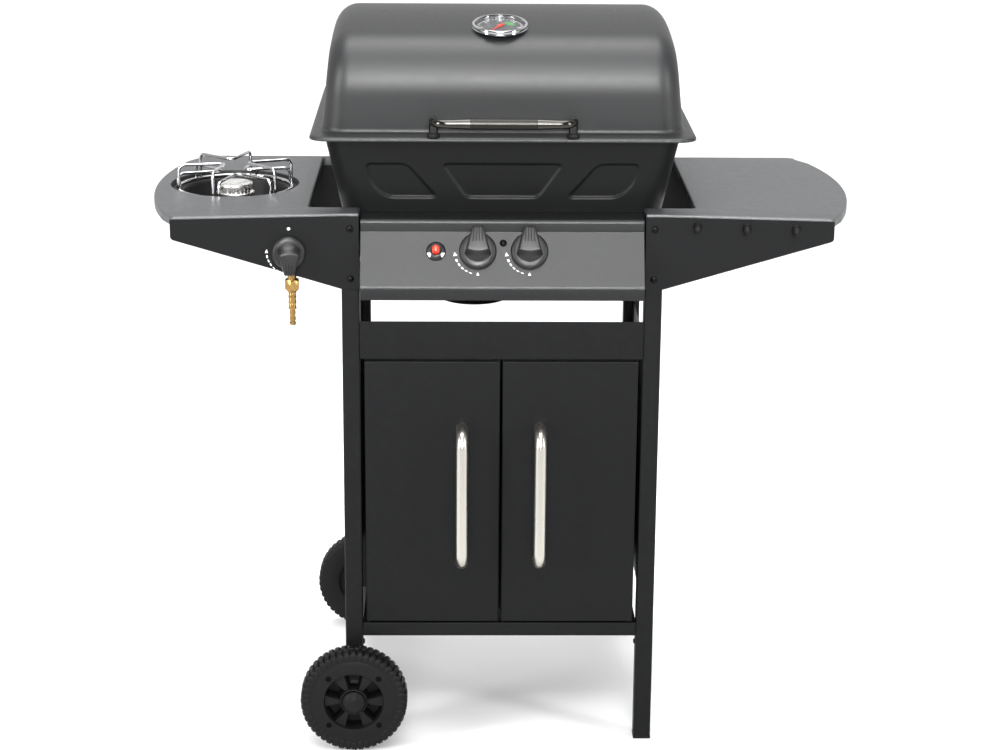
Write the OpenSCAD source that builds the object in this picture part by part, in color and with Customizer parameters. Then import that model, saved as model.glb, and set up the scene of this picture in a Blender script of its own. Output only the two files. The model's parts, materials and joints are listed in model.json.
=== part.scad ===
// Two-burner gas barbecue grill on a wheeled cart, with a side burner in the left shelf.
// X runs to the right, Y to the back, Z up. The origin is on the floor, under the middle.

/* [Cart] */
// Width over the outer faces of the legs
frame_w = 445; // [435:1:460]
// Depth over the outer faces of the legs
frame_d = 420; // [410:1:430]
// Side of the square leg tube
leg = 25; // [22:1:26]
// Wall of the leg tube
leg_wall = 1.5; // [1:0.1:2]
// Thickness of the folded sheet metal
sheet = 1.2; // [1:0.1:1.5]
// Height of the bottom shelf's top face
shelf_low_z = 183; // [170:1:183]
// Height of the doors' lower edge
door_z0 = 186; // [186:1:190]
// Height of the doors' upper edge
door_z1 = 577; // [560:1:577]

/* [Side shelves] */
// Height of the shelves' top face above the floor
shelf_z = 789; // [785:1:795]
// Width over both shelves
overall_w = 992; // [960:2:1020]
// How far the outer edge of a shelf bows out
shelf_bulge = 41; // [20:1:60]
// Depth of the rolled edge around a shelf
shelf_rim = 12; // [10:1:18]
// How far the front edge of a shelf turns out, from its leg to its outer corner
shelf_flare = 24.8; // [18:0.2:28]

/* [Wheels] */
// Radius of the wheels over the tread
wheel_r = 77; // [70:1:85]
// Width of the wheels
wheel_w = 34; // [28:1:34]
// Gap between a wheel and its leg
wheel_gap = 7; // [6:1:8]
// Radius of the axle
axle_r = 5; // [4:0.5:6]
// Number of tread lugs
lug_count = 48; // [24:4:60]

/* [Control panel] */
// Height of the panel's top edge
panel_z1 = 781; // [779:1:783]
// Height at which the sloping face starts
slope_z1 = 763; // [760:1:766]
// Height at which the sloping face ends
slope_z0 = 692; // [688:1:694]
// How far the sloping face runs out to the front
slope_run = 34; // [30:1:36]
// Height of the panel's lower edge
panel_z0 = 674; // [670:1:678]
// Distance of the knobs below the slope's upper edge
knob_drop = 27.5; // [24:0.5:32]
// Sideways place of the left burner knob
knob_x1 = -34; // [-40:1:-30]
// Sideways place of the right burner knob
knob_x2 = 37; // [32:1:44]

/* [Firebox and lid] */
// Height of the firebox's upper edge
box_z1 = 892.1; // [888:0.1:892.1]
// Height of the firebox's floor
box_z0 = 700; // [698:1:705]
// Half the width of the firebox at its upper edge
box_hw = 247; // [240:1:248]
// Half the depth of the firebox at its upper edge
box_hd = 193; // [188:1:194]
// Half the width over the lid's rim
rim_hw = 264.5; // [260:0.5:266]
// Half the depth over the lid's rim
rim_hd = 220; // [216:1:222]
// Height of the highest point of the lid
lid_top_z = 1042; // [1030:1:1050]
// Wall thickness of the lid
lid_wall = 2; // [1.5:0.5:3]

/* [Side burner] */
// Sideways place of the side burner
side_x = -384; // [-390:1:-380]
// Place of the side burner from front to back
side_y = -16.5; // [-20:0.5:-12]
// Radius of the hole in the shelf
recess_r = 94; // [90:1:96]
// Height of the pan support above the shelf
support_h = 33; // [25:1:40]

/* [Hidden] */
$fn = 96;

black = "#2a2b2d";
front = -frame_d / 2;
leg_in = frame_w / 2 - leg;
leg_mid = frame_w / 2 - leg / 2;
leg_top = shelf_z - sheet;
leg_y = frame_d / 2 - leg;
run_fit = 0.06;

// Side shelves; their outer edge is an arc, and their front apron turns out past the leg
apron_y0 = front - sheet;
shelf_y1 = leg_y;
shelf_hw = overall_w / 2;
corner = [shelf_hw - shelf_bulge, apron_y0 - shelf_flare];
apron_turn = atan(shelf_flare / (corner[0] - frame_w / 2));
shelf_half = (shelf_y1 - corner[1]) / 2;
bow_r = (pow(shelf_half, 2) + pow(shelf_bulge, 2)) / (2 * shelf_bulge);
bow_o = [shelf_hw - bow_r, shelf_y1 - shelf_half];
apron_z0 = 681;
apron_z1 = 757;
cutout_x = 268;
cutout_y0 = -172;
cutout_y1 = 172;

// Control panel: the sloping face and the places on it
panel_hw = 195;
slope_y0 = front - slope_run;
slope_h = slope_z1 - slope_z0;
panel_tilt = atan(slope_run / slope_h);
panel_back = cutout_y0 - 0.5;
knob_y = front - knob_drop * sin(panel_tilt);
knob_z = slope_z1 - knob_drop * cos(panel_tilt);
igniter_x = -91.5;
screw_drop = 15.5;
stem_r = 4;
stem_hole_r = 6;
side_knob_x = -294;
side_knob_z = 736;
manifold_y = -172;
manifold_z = 714;
manifold_r = 7;
screw_zs = [696, 767];
peg_xs = [268, 335, 402];
peg_z = 773;
peg_r = 5;

// Firebox and lid
draft = atan(40 / 188);
lid_y0 = 188;
lid_z0 = 895.4;
rim_z0 = 890;
fillet_r = 33;
crown_r = 600;
corner_r = 78;
corner_y = 113.5;
corner_z = lid_top_z - crown_r + sqrt(pow(crown_r - corner_r, 2) - pow(corner_y, 2));
lid_end_x = 205;
lid_taper = 0.095;
hinge_y = 232;
hinge_z = 886;
hinge_x = 150;
hinge_pin_r = 4;
gauge_x = -4;
gauge_y = -120;
gauge_tilt = 10.5;
gauge_z = lid_top_z - crown_r + sqrt(pow(crown_r, 2) - pow(gauge_y, 2)) + 0.6;
gauge_r = 38.5;
gauge_h = 8;
burner_z = 738;
cup_x = -38;
cup_y = -10;
cup_r = 54;
cup_z0 = 619;
cup_z1 = 674;
grate_z = 866;

// Doors
door_gap = 1.8;
door_x1 = 192;
door_pin_x = 187.5;
door_pin_y = front + 6.5;
door_pin_r = 2.5;
door_fold = 12;
handle_x = 55;
handle_r = 8.75;
handle_out = 35;
handle_z0 = 284;
handle_z1 = 479.5;
handle_bend = 20;

// Lid handle
grip_y = -252;
grip_z = 921;
grip_half = 45;
lid_post_x = 95;
lid_post_y = -213;

// ---- Shared functions ----

function unit(v) = v / norm(v);
function left_of(v) = [-v[1], v[0]];
function miter(a, b, c, t) =
    let (n1 = left_of(unit(b - a)), n2 = left_of(unit(c - b)), m = unit(n1 + n2))
    b + m * t / (m * n1);
function shifted(p, t) = [for (i = [0:len(p) - 1])
    i == 0 ? p[0] + t * left_of(unit(p[1] - p[0])) :
    i == len(p) - 1 ? p[i] + t * left_of(unit(p[i] - p[i - 1])) :
    miter(p[i - 1], p[i], p[i + 1], t)];
function reversed(p) = [for (i = [len(p) - 1:-1:0]) p[i]];

// Points of an arc of radius r about c, from angle a0 to a1 in n steps
function arc(c, r, a0, a1, n) = [for (i = [0:n])
    c + r * [cos(a0 + (a1 - a0) * i / n), sin(a0 + (a1 - a0) * i / n)]];

// Corner b of the outline a-b-c, rounded to radius r
function round_corner(a, b, c, r, n) =
    let (u = unit(a - b), v = unit(c - b), half = acos(u * v) / 2,
         o = b + unit(u + v) * r / sin(half),
         p = b + u * r / tan(half) - o, q = b + v * r / tan(half) - o,
         a0 = atan2(p[1], p[0]), turn = atan2(q[1], q[0]) - a0,
         sweep = turn > 180 ? turn - 360 : turn < -180 ? turn + 360 : turn)
    arc(o, r, a0, a0 + sweep, n);
function rounded(p, r, n = 5) = [for (i = [0:len(p) - 1])
    each round_corner(p[(i + len(p) - 1) % len(p)], p[i], p[(i + 1) % len(p)], r, n)];
function box_pts(hw, hd) = [[-hw, -hd], [hw, -hd], [hw, hd], [-hw, hd]];

// The clockwise outline p, grown outward by t
function grown(p, t) = [for (i = [0:len(p) - 1])
    miter(p[(i + len(p) - 1) % len(p)], p[i], p[(i + 1) % len(p)], t)];

// ---- Shared modules ----

// A sheet folded along the (Y, Z) path p, w wide along X, its metal to the left of the path
module folded_sheet(p, w) {
    rotate([90, 0, 90])
        linear_extrude(w, center = true)
            polygon(concat(p, reversed(shifted(p, sheet))));
}

// Children drawn in the (Y, Z) plane, w thick along X
module side_plate(w) {
    rotate([90, 0, 90])
        linear_extrude(w, center = true)
            children();
}

// Children drawn in the (X, Z) plane, t thick, with the front face at y
module front_plate(y, t) {
    translate([0, y + t, 0])
        rotate([90, 0, 0])
            linear_extrude(t)
                children();
}

// Local z points out of the sloping face, local y points up it
module on_panel(x, drop) {
    translate([x, front - drop * sin(panel_tilt), slope_z1 - drop * cos(panel_tilt)])
        rotate([90 - panel_tilt, 0, 0])
            children();
}

// Local z points out of the front apron at x
module on_apron(x, z) {
    out = max(0, abs(x) - frame_w / 2);
    translate([x, apron_y0 - out * tan(apron_turn), z])
        rotate([90, 0, out > 0 ? -sign(x) * apron_turn : 0])
            children();
}

// A tube bend of radius big in the local XY plane, from the local X axis
module bend(big, r, turn) {
    rotate_extrude(angle = turn)
        translate([big, 0])
            circle(r);
}

module ring(r_out, r_in, h) {
    difference() {
        cylinder(r = r_out, h = h);
        translate([0, 0, -1])
            cylinder(r = r_in, h = h + 2);
    }
}

// ---- Cart ----

module leg_tube(sx, sy, z0) {
    translate([sx * leg_mid, sy * (leg_y + leg / 2), 0])
        difference() {
            translate([-leg / 2, -leg / 2, z0])
                cube([leg, leg, leg_top - z0]);
            translate([leg_wall - leg / 2, leg_wall - leg / 2, z0 - 1])
                cube([leg - 2 * leg_wall, leg - 2 * leg_wall, leg_top - z0 + 2]);
            if (sy < 0)
                for (z = screw_zs)
                    translate([0, 0, z])
                        rotate([90, 0, 0])
                            cylinder(r = 2.1, h = leg);
            if (sx < 0)
                translate([0, 0, wheel_r])
                    rotate([90, 0, 0])
                        cylinder(r = axle_r + 0.05, h = leg + 2, center = true);
        }
}

left_leg_z0 = 55;
right_leg_z0 = 5;

module leg_front_left() { color(black) leg_tube(-1, -1, left_leg_z0); }
module leg_rear_left() { color(black) leg_tube(-1, 1, left_leg_z0); }
module leg_front_right() { color(black) leg_tube(1, -1, right_leg_z0); }
module leg_rear_right() { color(black) leg_tube(1, 1, right_leg_z0); }

// Plastic plugs in the lower ends of the legs; the right pair stand on the floor
module leg_plugs() {
    inner = leg - 2 * leg_wall;
    for (sx = [-1, 1], sy = [-1, 1])
        translate([sx * leg_mid, sy * (leg_y + leg / 2), sx < 0 ? left_leg_z0 : right_leg_z0])
            color("#1c1c1d") {
                translate([-leg / 2 - 0.2, -leg / 2 - 0.2, sx < 0 ? -3 : -5])
                    cube([leg + 0.4, leg + 0.4, sx < 0 ? 3 : 5]);
                translate([-inner / 2, -inner / 2, 0])
                    cube([inner, inner, 12]);
            }
}

cap_y = frame_d / 2 + wheel_gap + wheel_w;
axle_half = cap_y + 4;

module axle() {
    color("silver")
        translate([-leg_mid, 0, wheel_r])
            rotate([90, 0, 0])
                cylinder(r = axle_r, h = 2 * axle_half, center = true);
}

// Domed push-on caps that keep the wheels on the axle
module axle_caps() {
    for (s = [-1, 1])
        color("#202021")
            translate([-leg_mid, s * cap_y, wheel_r])
                rotate([-90 * s, 0, 0])
                    difference() {
                        rotate_extrude()
                            polygon(concat([[0, -3], [16.3, -3], [16.3, 2]],
                                           arc([0, -12.7], 21.7, 42.6, 90, 10)));
                        translate([0, 0, -4])
                            cylinder(r = axle_r, h = 8);
                    }
}

// A ring with n slots cut into its outer edge
module toothed(r_out, r_in, n, slot_w, slot_d) {
    difference() {
        circle(r_out);
        circle(r_in);
        for (i = [0:n - 1])
            rotate(360 / n * i)
                translate([r_out - slot_d, -slot_w / 2])
                    square([slot_d + 1, slot_w]);
    }
}

// One wheel, lying with its outer face up and its inner face at z = 0
module wheel() {
    dish_r = 42.5;
    hub_r = 19.8;
    body_r = wheel_r - 2.5;
    difference() {
        union() {
            ring(body_r, dish_r, wheel_w - 1);
            for (z = [1, wheel_w / 2 + 2.5])
                translate([0, 0, z])
                    linear_extrude(wheel_w / 2 - 3.5)
                        toothed(wheel_r, body_r - 3, lug_count, 3.6, 2.5);
            translate([0, 0, wheel_w - 1])
                linear_extrude(1)
                    toothed(wheel_r - 4, dish_r, lug_count, 3, 10);
            translate([0, 0, 10])
                cylinder(r = dish_r + 1, h = 6);
            for (i = [0:5])
                rotate(60 * i)
                    linear_extrude(wheel_w - 3)
                        polygon([[hub_r - 2, -5], [dish_r + 1, -8], [dish_r + 1, 8], [hub_r - 2, 5]]);
            translate([0, 0, 1 - wheel_gap])
                cylinder(r = hub_r, h = wheel_w + wheel_gap - 1.5);
        }
        translate([0, 0, -wheel_gap])
            cylinder(r = axle_r + run_fit, h = wheel_w + 2 * wheel_gap);
        translate([0, 0, wheel_w - 3.4])
            cylinder(r = 17, h = 4);
        for (i = [0:3])
            rotate(45 + 90 * i)
                translate([51, 0, wheel_w - 12])
                    cylinder(r = 3.4, h = 14);
    }
}

module placed_wheel(s) {
    color("#262626")
        translate([-leg_mid, s * (frame_d / 2 + wheel_gap), wheel_r])
            rotate([-90 * s, 0, 0])
                wheel();
}

module wheel_front() { placed_wheel(-1); }
module wheel_rear() { placed_wheel(1); }

// Floor of the cabinet, a sheet pan with its edges turned down
module bottom_shelf() {
    d = 2 * (frame_d / 2 - 2);
    w = 2 * leg_in;
    color(black)
        translate([0, 0, shelf_low_z - 20])
            difference() {
                translate([-w / 2, -d / 2, 0])
                    cube([w, d, 20]);
                translate([sheet - w / 2, sheet - d / 2, -sheet])
                    cube([w - 2 * sheet, d - 2 * sheet, 20]);
                for (s = [-1, 1])
                    translate([s * door_pin_x, door_pin_y, 0])
                        cylinder(r = door_pin_r + run_fit, h = 21);
            }
}

module side_panels() {
    for (s = [-1, 1])
        color(black)
            translate([s * 213 - sheet / 2, -leg_y, 170])
                cube([sheet, 2 * leg_y, 390]);
}

module back_panel() {
    color(black)
        folded_sheet([[leg_y + 6, 500], [leg_y + 20, 500], [leg_y + 20, shelf_low_z + sheet],
                      [leg_y + 8, shelf_low_z + sheet]], 2 * leg_in);
}

// Cross member above the doors; its lower flange holds the doors' upper pins
module fascia() {
    color(black)
        difference() {
            folded_sheet([[front, 635], [front, 580], [front + leg, 580]], 2 * leg_in);
            for (s = [-1, 1])
                translate([s * door_pin_x, door_pin_y, 575])
                    cylinder(r = door_pin_r + run_fit, h = 10);
        }
}

// Rails that tie the legs together and carry the firebox
module support_rails() {
    color(black) {
        for (s = [-1, 1])
            translate([s * (leg_in + 10) - 10, -leg_y, box_z0 - 25])
                cube([20, 2 * leg_y, 25]);
        translate([-leg_in, leg_y + 3, box_z0 - 25])
            cube([2 * leg_in, 15, 25]);
    }
}

// ---- Doors ----

module door(s) {
    w = door_x1 - door_gap;
    x0 = s < 0 ? -door_x1 : door_gap;
    color(black)
        difference() {
            translate([x0, front, door_z0])
                cube([w, door_fold, door_z1 - door_z0]);
            translate([x0 + sheet, front + sheet, door_z0 + sheet])
                cube([w - 2 * sheet, door_fold, door_z1 - door_z0 - 2 * sheet]);
            translate([s * door_pin_x, door_pin_y, door_z0 - 1])
                cylinder(r = door_pin_r + run_fit, h = door_z1 - door_z0 + 2);
        }
}

module door_left() { door(-1); }
module door_right() { door(1); }

// Bent round bar with both ends on the door's face
module door_handle(s) {
    y = front - handle_out;
    color("#d0cbc4")
        translate([s * handle_x, y, 0]) {
            translate([0, 0, handle_z0 + handle_bend])
                cylinder(r = handle_r, h = handle_z1 - handle_z0 - 2 * handle_bend);
            for (end = [0, 1])
                translate([0, 0, end ? handle_z1 : handle_z0]) {
                    translate([0, handle_bend, end ? -handle_bend : handle_bend])
                        rotate([0, 90, 0])
                            rotate(end ? 180 : -90)
                                bend(handle_bend, handle_r, 90);
                    translate([0, handle_out, 0])
                        rotate([90, 0, 0])
                            cylinder(r = handle_r, h = handle_out - handle_bend);
                }
        }
}

module door_handle_left() { door_handle(-1); }
module door_handle_right() { door_handle(1); }

// Magnet block behind the middle edges of both doors
module door_catch() {
    color("#1c1c1d")
        translate([-10, front + door_fold + 0.6, shelf_low_z])
            cube([20, 12, 17]);
}

// Pins of the doors and of the lid
module hinge_pins() {
    color("silver") {
        for (s = [-1, 1]) {
            translate([s * door_pin_x, door_pin_y, 570])
                cylinder(r = door_pin_r, h = 14);
            translate([s * door_pin_x, door_pin_y, shelf_low_z - 4])
                cylinder(r = door_pin_r, h = 12);
            translate([s * hinge_x - 11, hinge_y, hinge_z])
                rotate([0, 90, 0])
                    cylinder(r = hinge_pin_r, h = 22);
        }
    }
}

// ---- Side shelves ----

// Outline of the right shelf
function shelf_pts() =
    let (a = asin(shelf_half / bow_r))
    concat([[leg_in, shelf_y1], [leg_in, apron_y0], [frame_w / 2, apron_y0]],
           arc(bow_o, bow_r, -a, a, 24));

// Space inside its rolled edge, left open in front, where the apron stands
function rim_pts() =
    let (a = asin(shelf_half / bow_r), r = bow_r - sheet)
    concat([[leg_in - 1, shelf_y1 - sheet], [leg_in - 1, corner[1] - 9],
            [corner[0] - 1, corner[1] - 9]],
           arc(bow_o, r, -a, asin((shelf_half - sheet) / r), 24));

module shelf() {
    cutout_w = cutout_x - leg_in;
    cutout_d = cutout_y1 - cutout_y0;
    translate([0, 0, leg_top])
        linear_extrude(sheet)
            difference() {
                polygon(shelf_pts());
                translate([leg_in - 1, cutout_y0])
                    square([cutout_w + 1, cutout_d]);
                children();
            }
    translate([0, 0, shelf_z - shelf_rim])
        linear_extrude(shelf_rim - sheet)
            difference() {
                polygon(shelf_pts());
                polygon(rim_pts());
            }
    translate([cutout_x, cutout_y0, shelf_z - shelf_rim])
        cube([sheet, cutout_d, shelf_rim - sheet]);
}

module shelf_top_left() {
    color("#3a3b3d")
        mirror([1, 0, 0])
            shelf()
                translate([-side_x, side_y])
                    circle(recess_r - 2);
}

module shelf_top_right() {
    color("#3a3b3d")
        shelf();
}

// Outline of the right aprons in (X, Z), ending at x1
module apron_outline(x1) {
    polygon(concat([[leg_in, leg_top], [leg_in, apron_z0], [220, apron_z0]],
                   round_corner([220, apron_z0], [x1, apron_z1], [x1, leg_top], 6, 5),
                   [[x1, leg_top]]));
}

// Front apron of the right shelf; children are cut out of it
module apron_front() {
    plan = [[leg_in, apron_y0], [frame_w / 2, apron_y0], corner];
    difference() {
        intersection() {
            translate([0, 0, apron_z0 - 1])
                linear_extrude(leg_top - apron_z0 + 1)
                    polygon(concat(plan, reversed(shifted(plan, sheet))));
            front_plate(corner[1] - 5, 50)
                apron_outline(corner[0] - 1.2);
        }
        for (z = screw_zs)
            on_apron(leg_mid, z)
                cylinder(r = 2.1, h = 4, center = true);
        children();
    }
}

module apron_front_left() {
    color(black)
        mirror([1, 0, 0])
            apron_front()
                on_apron(-side_knob_x, side_knob_z)
                    cylinder(r = stem_hole_r, h = 4, center = true);
}

module apron_front_right() {
    color(black)
        apron_front()
            for (x = peg_xs)
                on_apron(x, peg_z)
                    cylinder(r = 2.5, h = 4, center = true);
}

// Rear aprons, notched round the support rails
module aprons_rear() {
    for (s = [0, 1])
        color(black)
            mirror([s, 0, 0])
                front_plate(shelf_y1 - 2 * sheet, sheet)
                    difference() {
                        apron_outline(corner[0] - 2);
                        translate([leg_in - 1, box_z0 - 25])
                            square([21.2, 25.2]);
                    }
}

// Pegs for hanging tools on the right apron
module tool_pegs() {
    for (x = peg_xs)
        color("#1c1c1d")
            on_apron(x, peg_z) {
                rotate_extrude()
                    polygon(concat([[0, 0], [6.5, 0], [6.5, 2], [peg_r, 3]],
                                   arc([0, 18.5], peg_r, 0, 90, 8)));
                translate([0, 0, -8])
                    cylinder(r = 2.4, h = 9);
            }
}

// Pan-head screws of the aprons and of the control panel
module pan_screw(length) {
    rotate_extrude()
        polygon(concat([[0, 0], [5, 0], [5, 1]], arc([0, -3.4], 6.65, 41, 90, 6)));
    translate([0, 0, -length])
        cylinder(r = 2, h = length + 0.5);
}

module panel_screws() {
    color("#141414") {
        for (s = [-1, 1], z = screw_zs)
            on_apron(s * leg_mid, z)
                pan_screw(10);
        on_panel(1, screw_drop)
            pan_screw(8);
    }
}

// ---- Control panel and gas train ----

module control_panel() {
    turn_r = 8;
    path = concat([[panel_back, panel_z1], [front, panel_z1], [front, slope_z1]],
                  round_corner([front, slope_z1], [slope_y0, slope_z0], [slope_y0, panel_z0],
                               turn_r, 4),
                  [[slope_y0, panel_z0], [slope_y0 + 14, panel_z0]]);
    end_plate = [[front + 23, panel_z1 - sheet], [front, panel_z1 - sheet], [front, slope_z1],
                 [slope_y0, slope_z0], [slope_y0, panel_z0], [front + 23, panel_z0]];
    color("#55575a")
        difference() {
            union() {
                folded_sheet(path, 2 * panel_hw);
                for (s = [-1, 1]) {
                    translate([s * (panel_hw - sheet / 2), 0, 0])
                        side_plate(sheet)
                            polygon(end_plate);
                    translate([s * (panel_hw + (leg_in - panel_hw) / 2), front + 12, 730])
                        cube([leg_in - panel_hw, 18, 60], center = true);
                }
            }
            for (x = [knob_x1, knob_x2])
                on_panel(x, knob_drop)
                    cylinder(r = stem_hole_r, h = 10, center = true);
            on_panel(igniter_x, knob_drop)
                cylinder(r = 10.5, h = 10, center = true);
            on_panel(1, screw_drop)
                cylinder(r = 2.1, h = 10, center = true);
        }
}

// Tube that feeds all three valves
module gas_manifold() {
    color("#b7b4ac")
        translate([side_knob_x + 12, manifold_y, manifold_z])
            rotate([0, 90, 0])
                cylinder(r = manifold_r, h = knob_x2 + 25 - side_knob_x - 12);
}

valve_front = -1.4 - sheet;
valve_back = -34;
stem_back = -30;

module valve_bore() {
    translate([0, 0, stem_back])
        cylinder(r = stem_r + run_fit, h = 40);
}

// Brass taps behind the panel, each with its inlet stub and its jet towards the burner
module burner_valves() {
    for (x = [knob_x1, knob_x2])
        color("#b08d4c")
            difference() {
                union() {
                    on_panel(x, knob_drop) {
                        translate([-12, -12, valve_back])
                            cube([24, 26, -4 - valve_back]);
                        translate([0, 0, -5])
                            cylinder(r = 9, h = 5 + valve_front);
                    }
                    translate([x, -200, 731])
                        rotate([-90, 0, 0])
                            cylinder(r = 5, h = 24);
                    translate([x, -200, manifold_z + 2])
                        rotate([-90, 0, 0])
                            cylinder(r = 4, h = 200 + manifold_y - manifold_r);
                }
                on_panel(x, knob_drop)
                    valve_bore();
            }
}

// Side burner's tap, which is also the inlet block
module side_valve() {
    color("#b08d4c")
        difference() {
            union() {
                translate([side_knob_x - 12, front + 4, 704])
                    cube([24, 42, 46]);
                on_apron(side_knob_x, side_knob_z)
                    translate([0, 0, -16])
                        cylinder(r = 9, h = 16 + valve_front);
            }
            on_apron(side_knob_x, side_knob_z)
                valve_bore();
        }
}

side_pipe_r = 4;

// Pipe from the side valve to the side burner's throat
module side_gas_pipe() {
    z = 728;
    turn = 25;
    y0 = front + 46;
    x1 = side_x + 14;
    color("#b7b4ac") {
        translate([side_knob_x, y0, z])
            rotate([-90, 0, 0])
                cylinder(r = side_pipe_r, h = side_y - turn - y0);
        translate([side_knob_x - turn, side_y - turn, z])
            bend(turn, side_pipe_r, 90);
        translate([x1, side_y, z])
            rotate([0, 90, 0])
                cylinder(r = side_pipe_r, h = side_knob_x - turn - x1);
    }
}

tail_x = -291.5;
tail_y = -195;

// Brass inlet under the side valve: neck, hex nut and barbed tail
module hose_tail() {
    z1 = 704;
    color("#b08d4c")
        translate([tail_x, tail_y, z1])
            mirror([0, 0, 1]) {
                cylinder(r = 6.5, h = 13);
                translate([0, 0, 12])
                    cylinder(r = 11, h = 15, $fn = 6);
                rotate_extrude()
                    polygon(concat([[0, 26], [8, 26], [6, 31], [5, 31]],
                                   [for (i = [0:2]) each [[4.6, 31 + 8 * i], [5.9, 38 + 8 * i]]],
                                   [for (i = [0:1]) each [[3.6, 55 + 8 * i], [4.6, 62 + 8 * i]]],
                                   arc([0, 73.5], 4.8, -20, 90, 8)));
            }
}

// A stem turns in its valve; the knob slides on it
module valve_stem() {
    color("silver")
        translate([0, 0, stem_back + 0.1])
            cylinder(r = stem_r, h = 16 - stem_back);
}

module valve_stem_left() { on_panel(knob_x1, knob_drop) valve_stem(); }
module valve_stem_right() { on_panel(knob_x2, knob_drop) valve_stem(); }
module valve_stem_side() { on_apron(side_knob_x, side_knob_z) valve_stem(); }

// Bell-shaped knob on a round skirt, its narrow end pointing up; k scales it in plan
module knob(k) {
    lift = 4;
    height = 23;
    base = concat([[-8.5, 30.5]], arc([0, -2], 18, 190, 350, 14), [[8.5, 30.5]]);
    face = concat([[-8, 30.5]], arc([0, 16.7], 22, 238, 302, 8), [[8, 30.5]]);
    color("#232425")
        translate([0, 0, lift])
            difference() {
                union() {
                    rotate_extrude()
                        polygon([[0, 0], [25.8 * k, 0], [25.8 * k, 2], [24 * k, 5.5],
                                 [17 * k, 7], [0, 7]]);
                    hull() {
                        translate([0, 0, 5])
                            linear_extrude(0.5)
                                polygon(base * k);
                        translate([0, 0, height - 0.5])
                            linear_extrude(0.5)
                                polygon(face * k);
                    }
                }
                translate([0, 0, -1])
                    cylinder(r = stem_r + run_fit, h = 17);
            }
}

module knob_left() { on_panel(knob_x1, knob_drop) knob(1); }
module knob_right() { on_panel(knob_x2, knob_drop) knob(1); }
module knob_side() { on_apron(side_knob_x, side_knob_z) rotate(180) knob(0.9); }

button_r = 5.5;

// Bezel and barrel of the spark igniter
module igniter_housing() {
    color("#161616")
        on_panel(igniter_x, knob_drop)
            difference() {
                rotate_extrude()
                    polygon(concat([[0, -30], [10.4, -30], [10.4, 0], [13.5, 0], [13.5, 1]],
                                   arc([0, -16], 21.6, 52, 90, 8)));
                translate([0, 0, -22])
                    cylinder(r = button_r + run_fit, h = 40);
            }
}

module igniter_button() {
    color("#d8321c")
        on_panel(igniter_x, knob_drop)
            rotate_extrude()
                polygon(concat([[0, -15], [button_r, -15], [button_r, 17.5]],
                               arc([button_r - 3.5, 17.5], 3.5, 0, 90, 6), [[0, 21]]));
}

// ---- Side burner ----

ledge_z = shelf_z - 8;
bowl_z0 = shelf_z - 48;
support_r = 82;
wire_r = 2.2;
ring_wire_r = 2.6;

// Steel bowl under the shelf, with a ledge for the pan support
module side_burner_bowl() {
    color("#1a1a1b")
        translate([side_x, side_y, 0])
            rotate_extrude()
                polygon([[recess_r + 6, leg_top], [recess_r - 2, leg_top], [recess_r - 4, ledge_z],
                         [76, ledge_z], [70, bowl_z0 + 1], [16, bowl_z0 + 1], [16, bowl_z0],
                         [71, bowl_z0], [77, ledge_z - 1], [recess_r - 3, ledge_z - 1],
                         [recess_r - 1, leg_top - 1], [recess_r + 6, leg_top - 1]]);
}

// Throat and burner crown
module side_burner_head() {
    color("#c9c7c2")
        translate([side_x, side_y, 0])
            rotate_extrude()
                polygon([[0, 715], [14, 715], [14, bowl_z0 + 1], [24, bowl_z0 + 1], [24, 760],
                         [27, 775], [27, 777], [24.5, 777], [24.5, 785], [0, 785]]);
}

module side_burner_cap() {
    color("#dddcd8")
        translate([side_x, side_y, 0])
            rotate_extrude()
                polygon(concat([[0, 785], [25.5, 785], [25.5, 789]],
                               arc([23.5, 789], 2, 0, 90, 5), [[0, 791.6]]));
}

// Chrome wire stand: a base ring, three V-shaped arms and three lower V-shaped braces
module pan_support() {
    turn = 9;
    tip_r = 16;
    foot_z = ledge_z + ring_wire_r;
    color("#d9dadc")
        translate([side_x, side_y, 0]) {
            translate([0, 0, foot_z])
                rotate_extrude()
                    translate([support_r, 0])
                        circle(ring_wire_r);
            for (i = [0:5], s = [-1, 1]) {
                // Each leg stands at 27 degrees to the axis of its own V
                axis = 46 + 60 * i;
                top = shelf_z + support_h - wire_r - (i % 2 == 0 ? 14 : 0);
                foot = support_r * [cos(axis + s * 27), sin(axis + s * 27)];
                tip = tip_r * [cos(axis), sin(axis)];
                reach = norm(tip - foot);
                translate([foot[0], foot[1], 0])
                    rotate(atan2(tip[1] - foot[1], tip[0] - foot[0])) {
                        translate([0, 0, foot_z])
                            cylinder(r = wire_r, h = top - turn - foot_z);
                        translate([turn, 0, top - turn])
                            rotate([90, 0, 0])
                                rotate(90)
                                    bend(turn, wire_r, 90);
                        translate([turn, 0, top])
                            rotate([0, 90, 0])
                                cylinder(r = wire_r, h = reach - turn);
                    }
                translate([tip[0], tip[1], top - wire_r - 0.4])
                    cylinder(r = wire_r + 0.4, h = 2 * wire_r + 0.8);
            }
        }
}

// ---- Firebox ----

// Half sizes of the firebox at height z
function box_at(z, hw) = hw - (box_z1 - z) * tan(draft);

module box_slice(z, inset, r) {
    translate([0, 0, z])
        linear_extrude(0.2)
            polygon(rounded(box_pts(box_at(z, box_hw) - inset, box_at(z, box_hd) - inset), r, 8));
}

module box_solid(z0, z1, inset) {
    hull() {
        box_slice(z0, inset, 24 - inset);
        box_slice(z1 - 0.2, inset, 36 - inset);
    }
}

// Outlines of the three pressed windows in the firebox's front, in (X, Z)
window_z0 = 803;
window_z1 = 853;
windows = [
    [[-84, window_z1], [84, window_z1], [50, window_z0], [-50, window_z0]],
    [[-189, window_z1], [-131.6, window_z1], [-89.3, window_z0], [-160, window_z0], [-182, 822]],
    [[131.6, window_z1], [189, window_z1], [182, 822], [160, window_z0], [89.3, window_z0]]];

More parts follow.
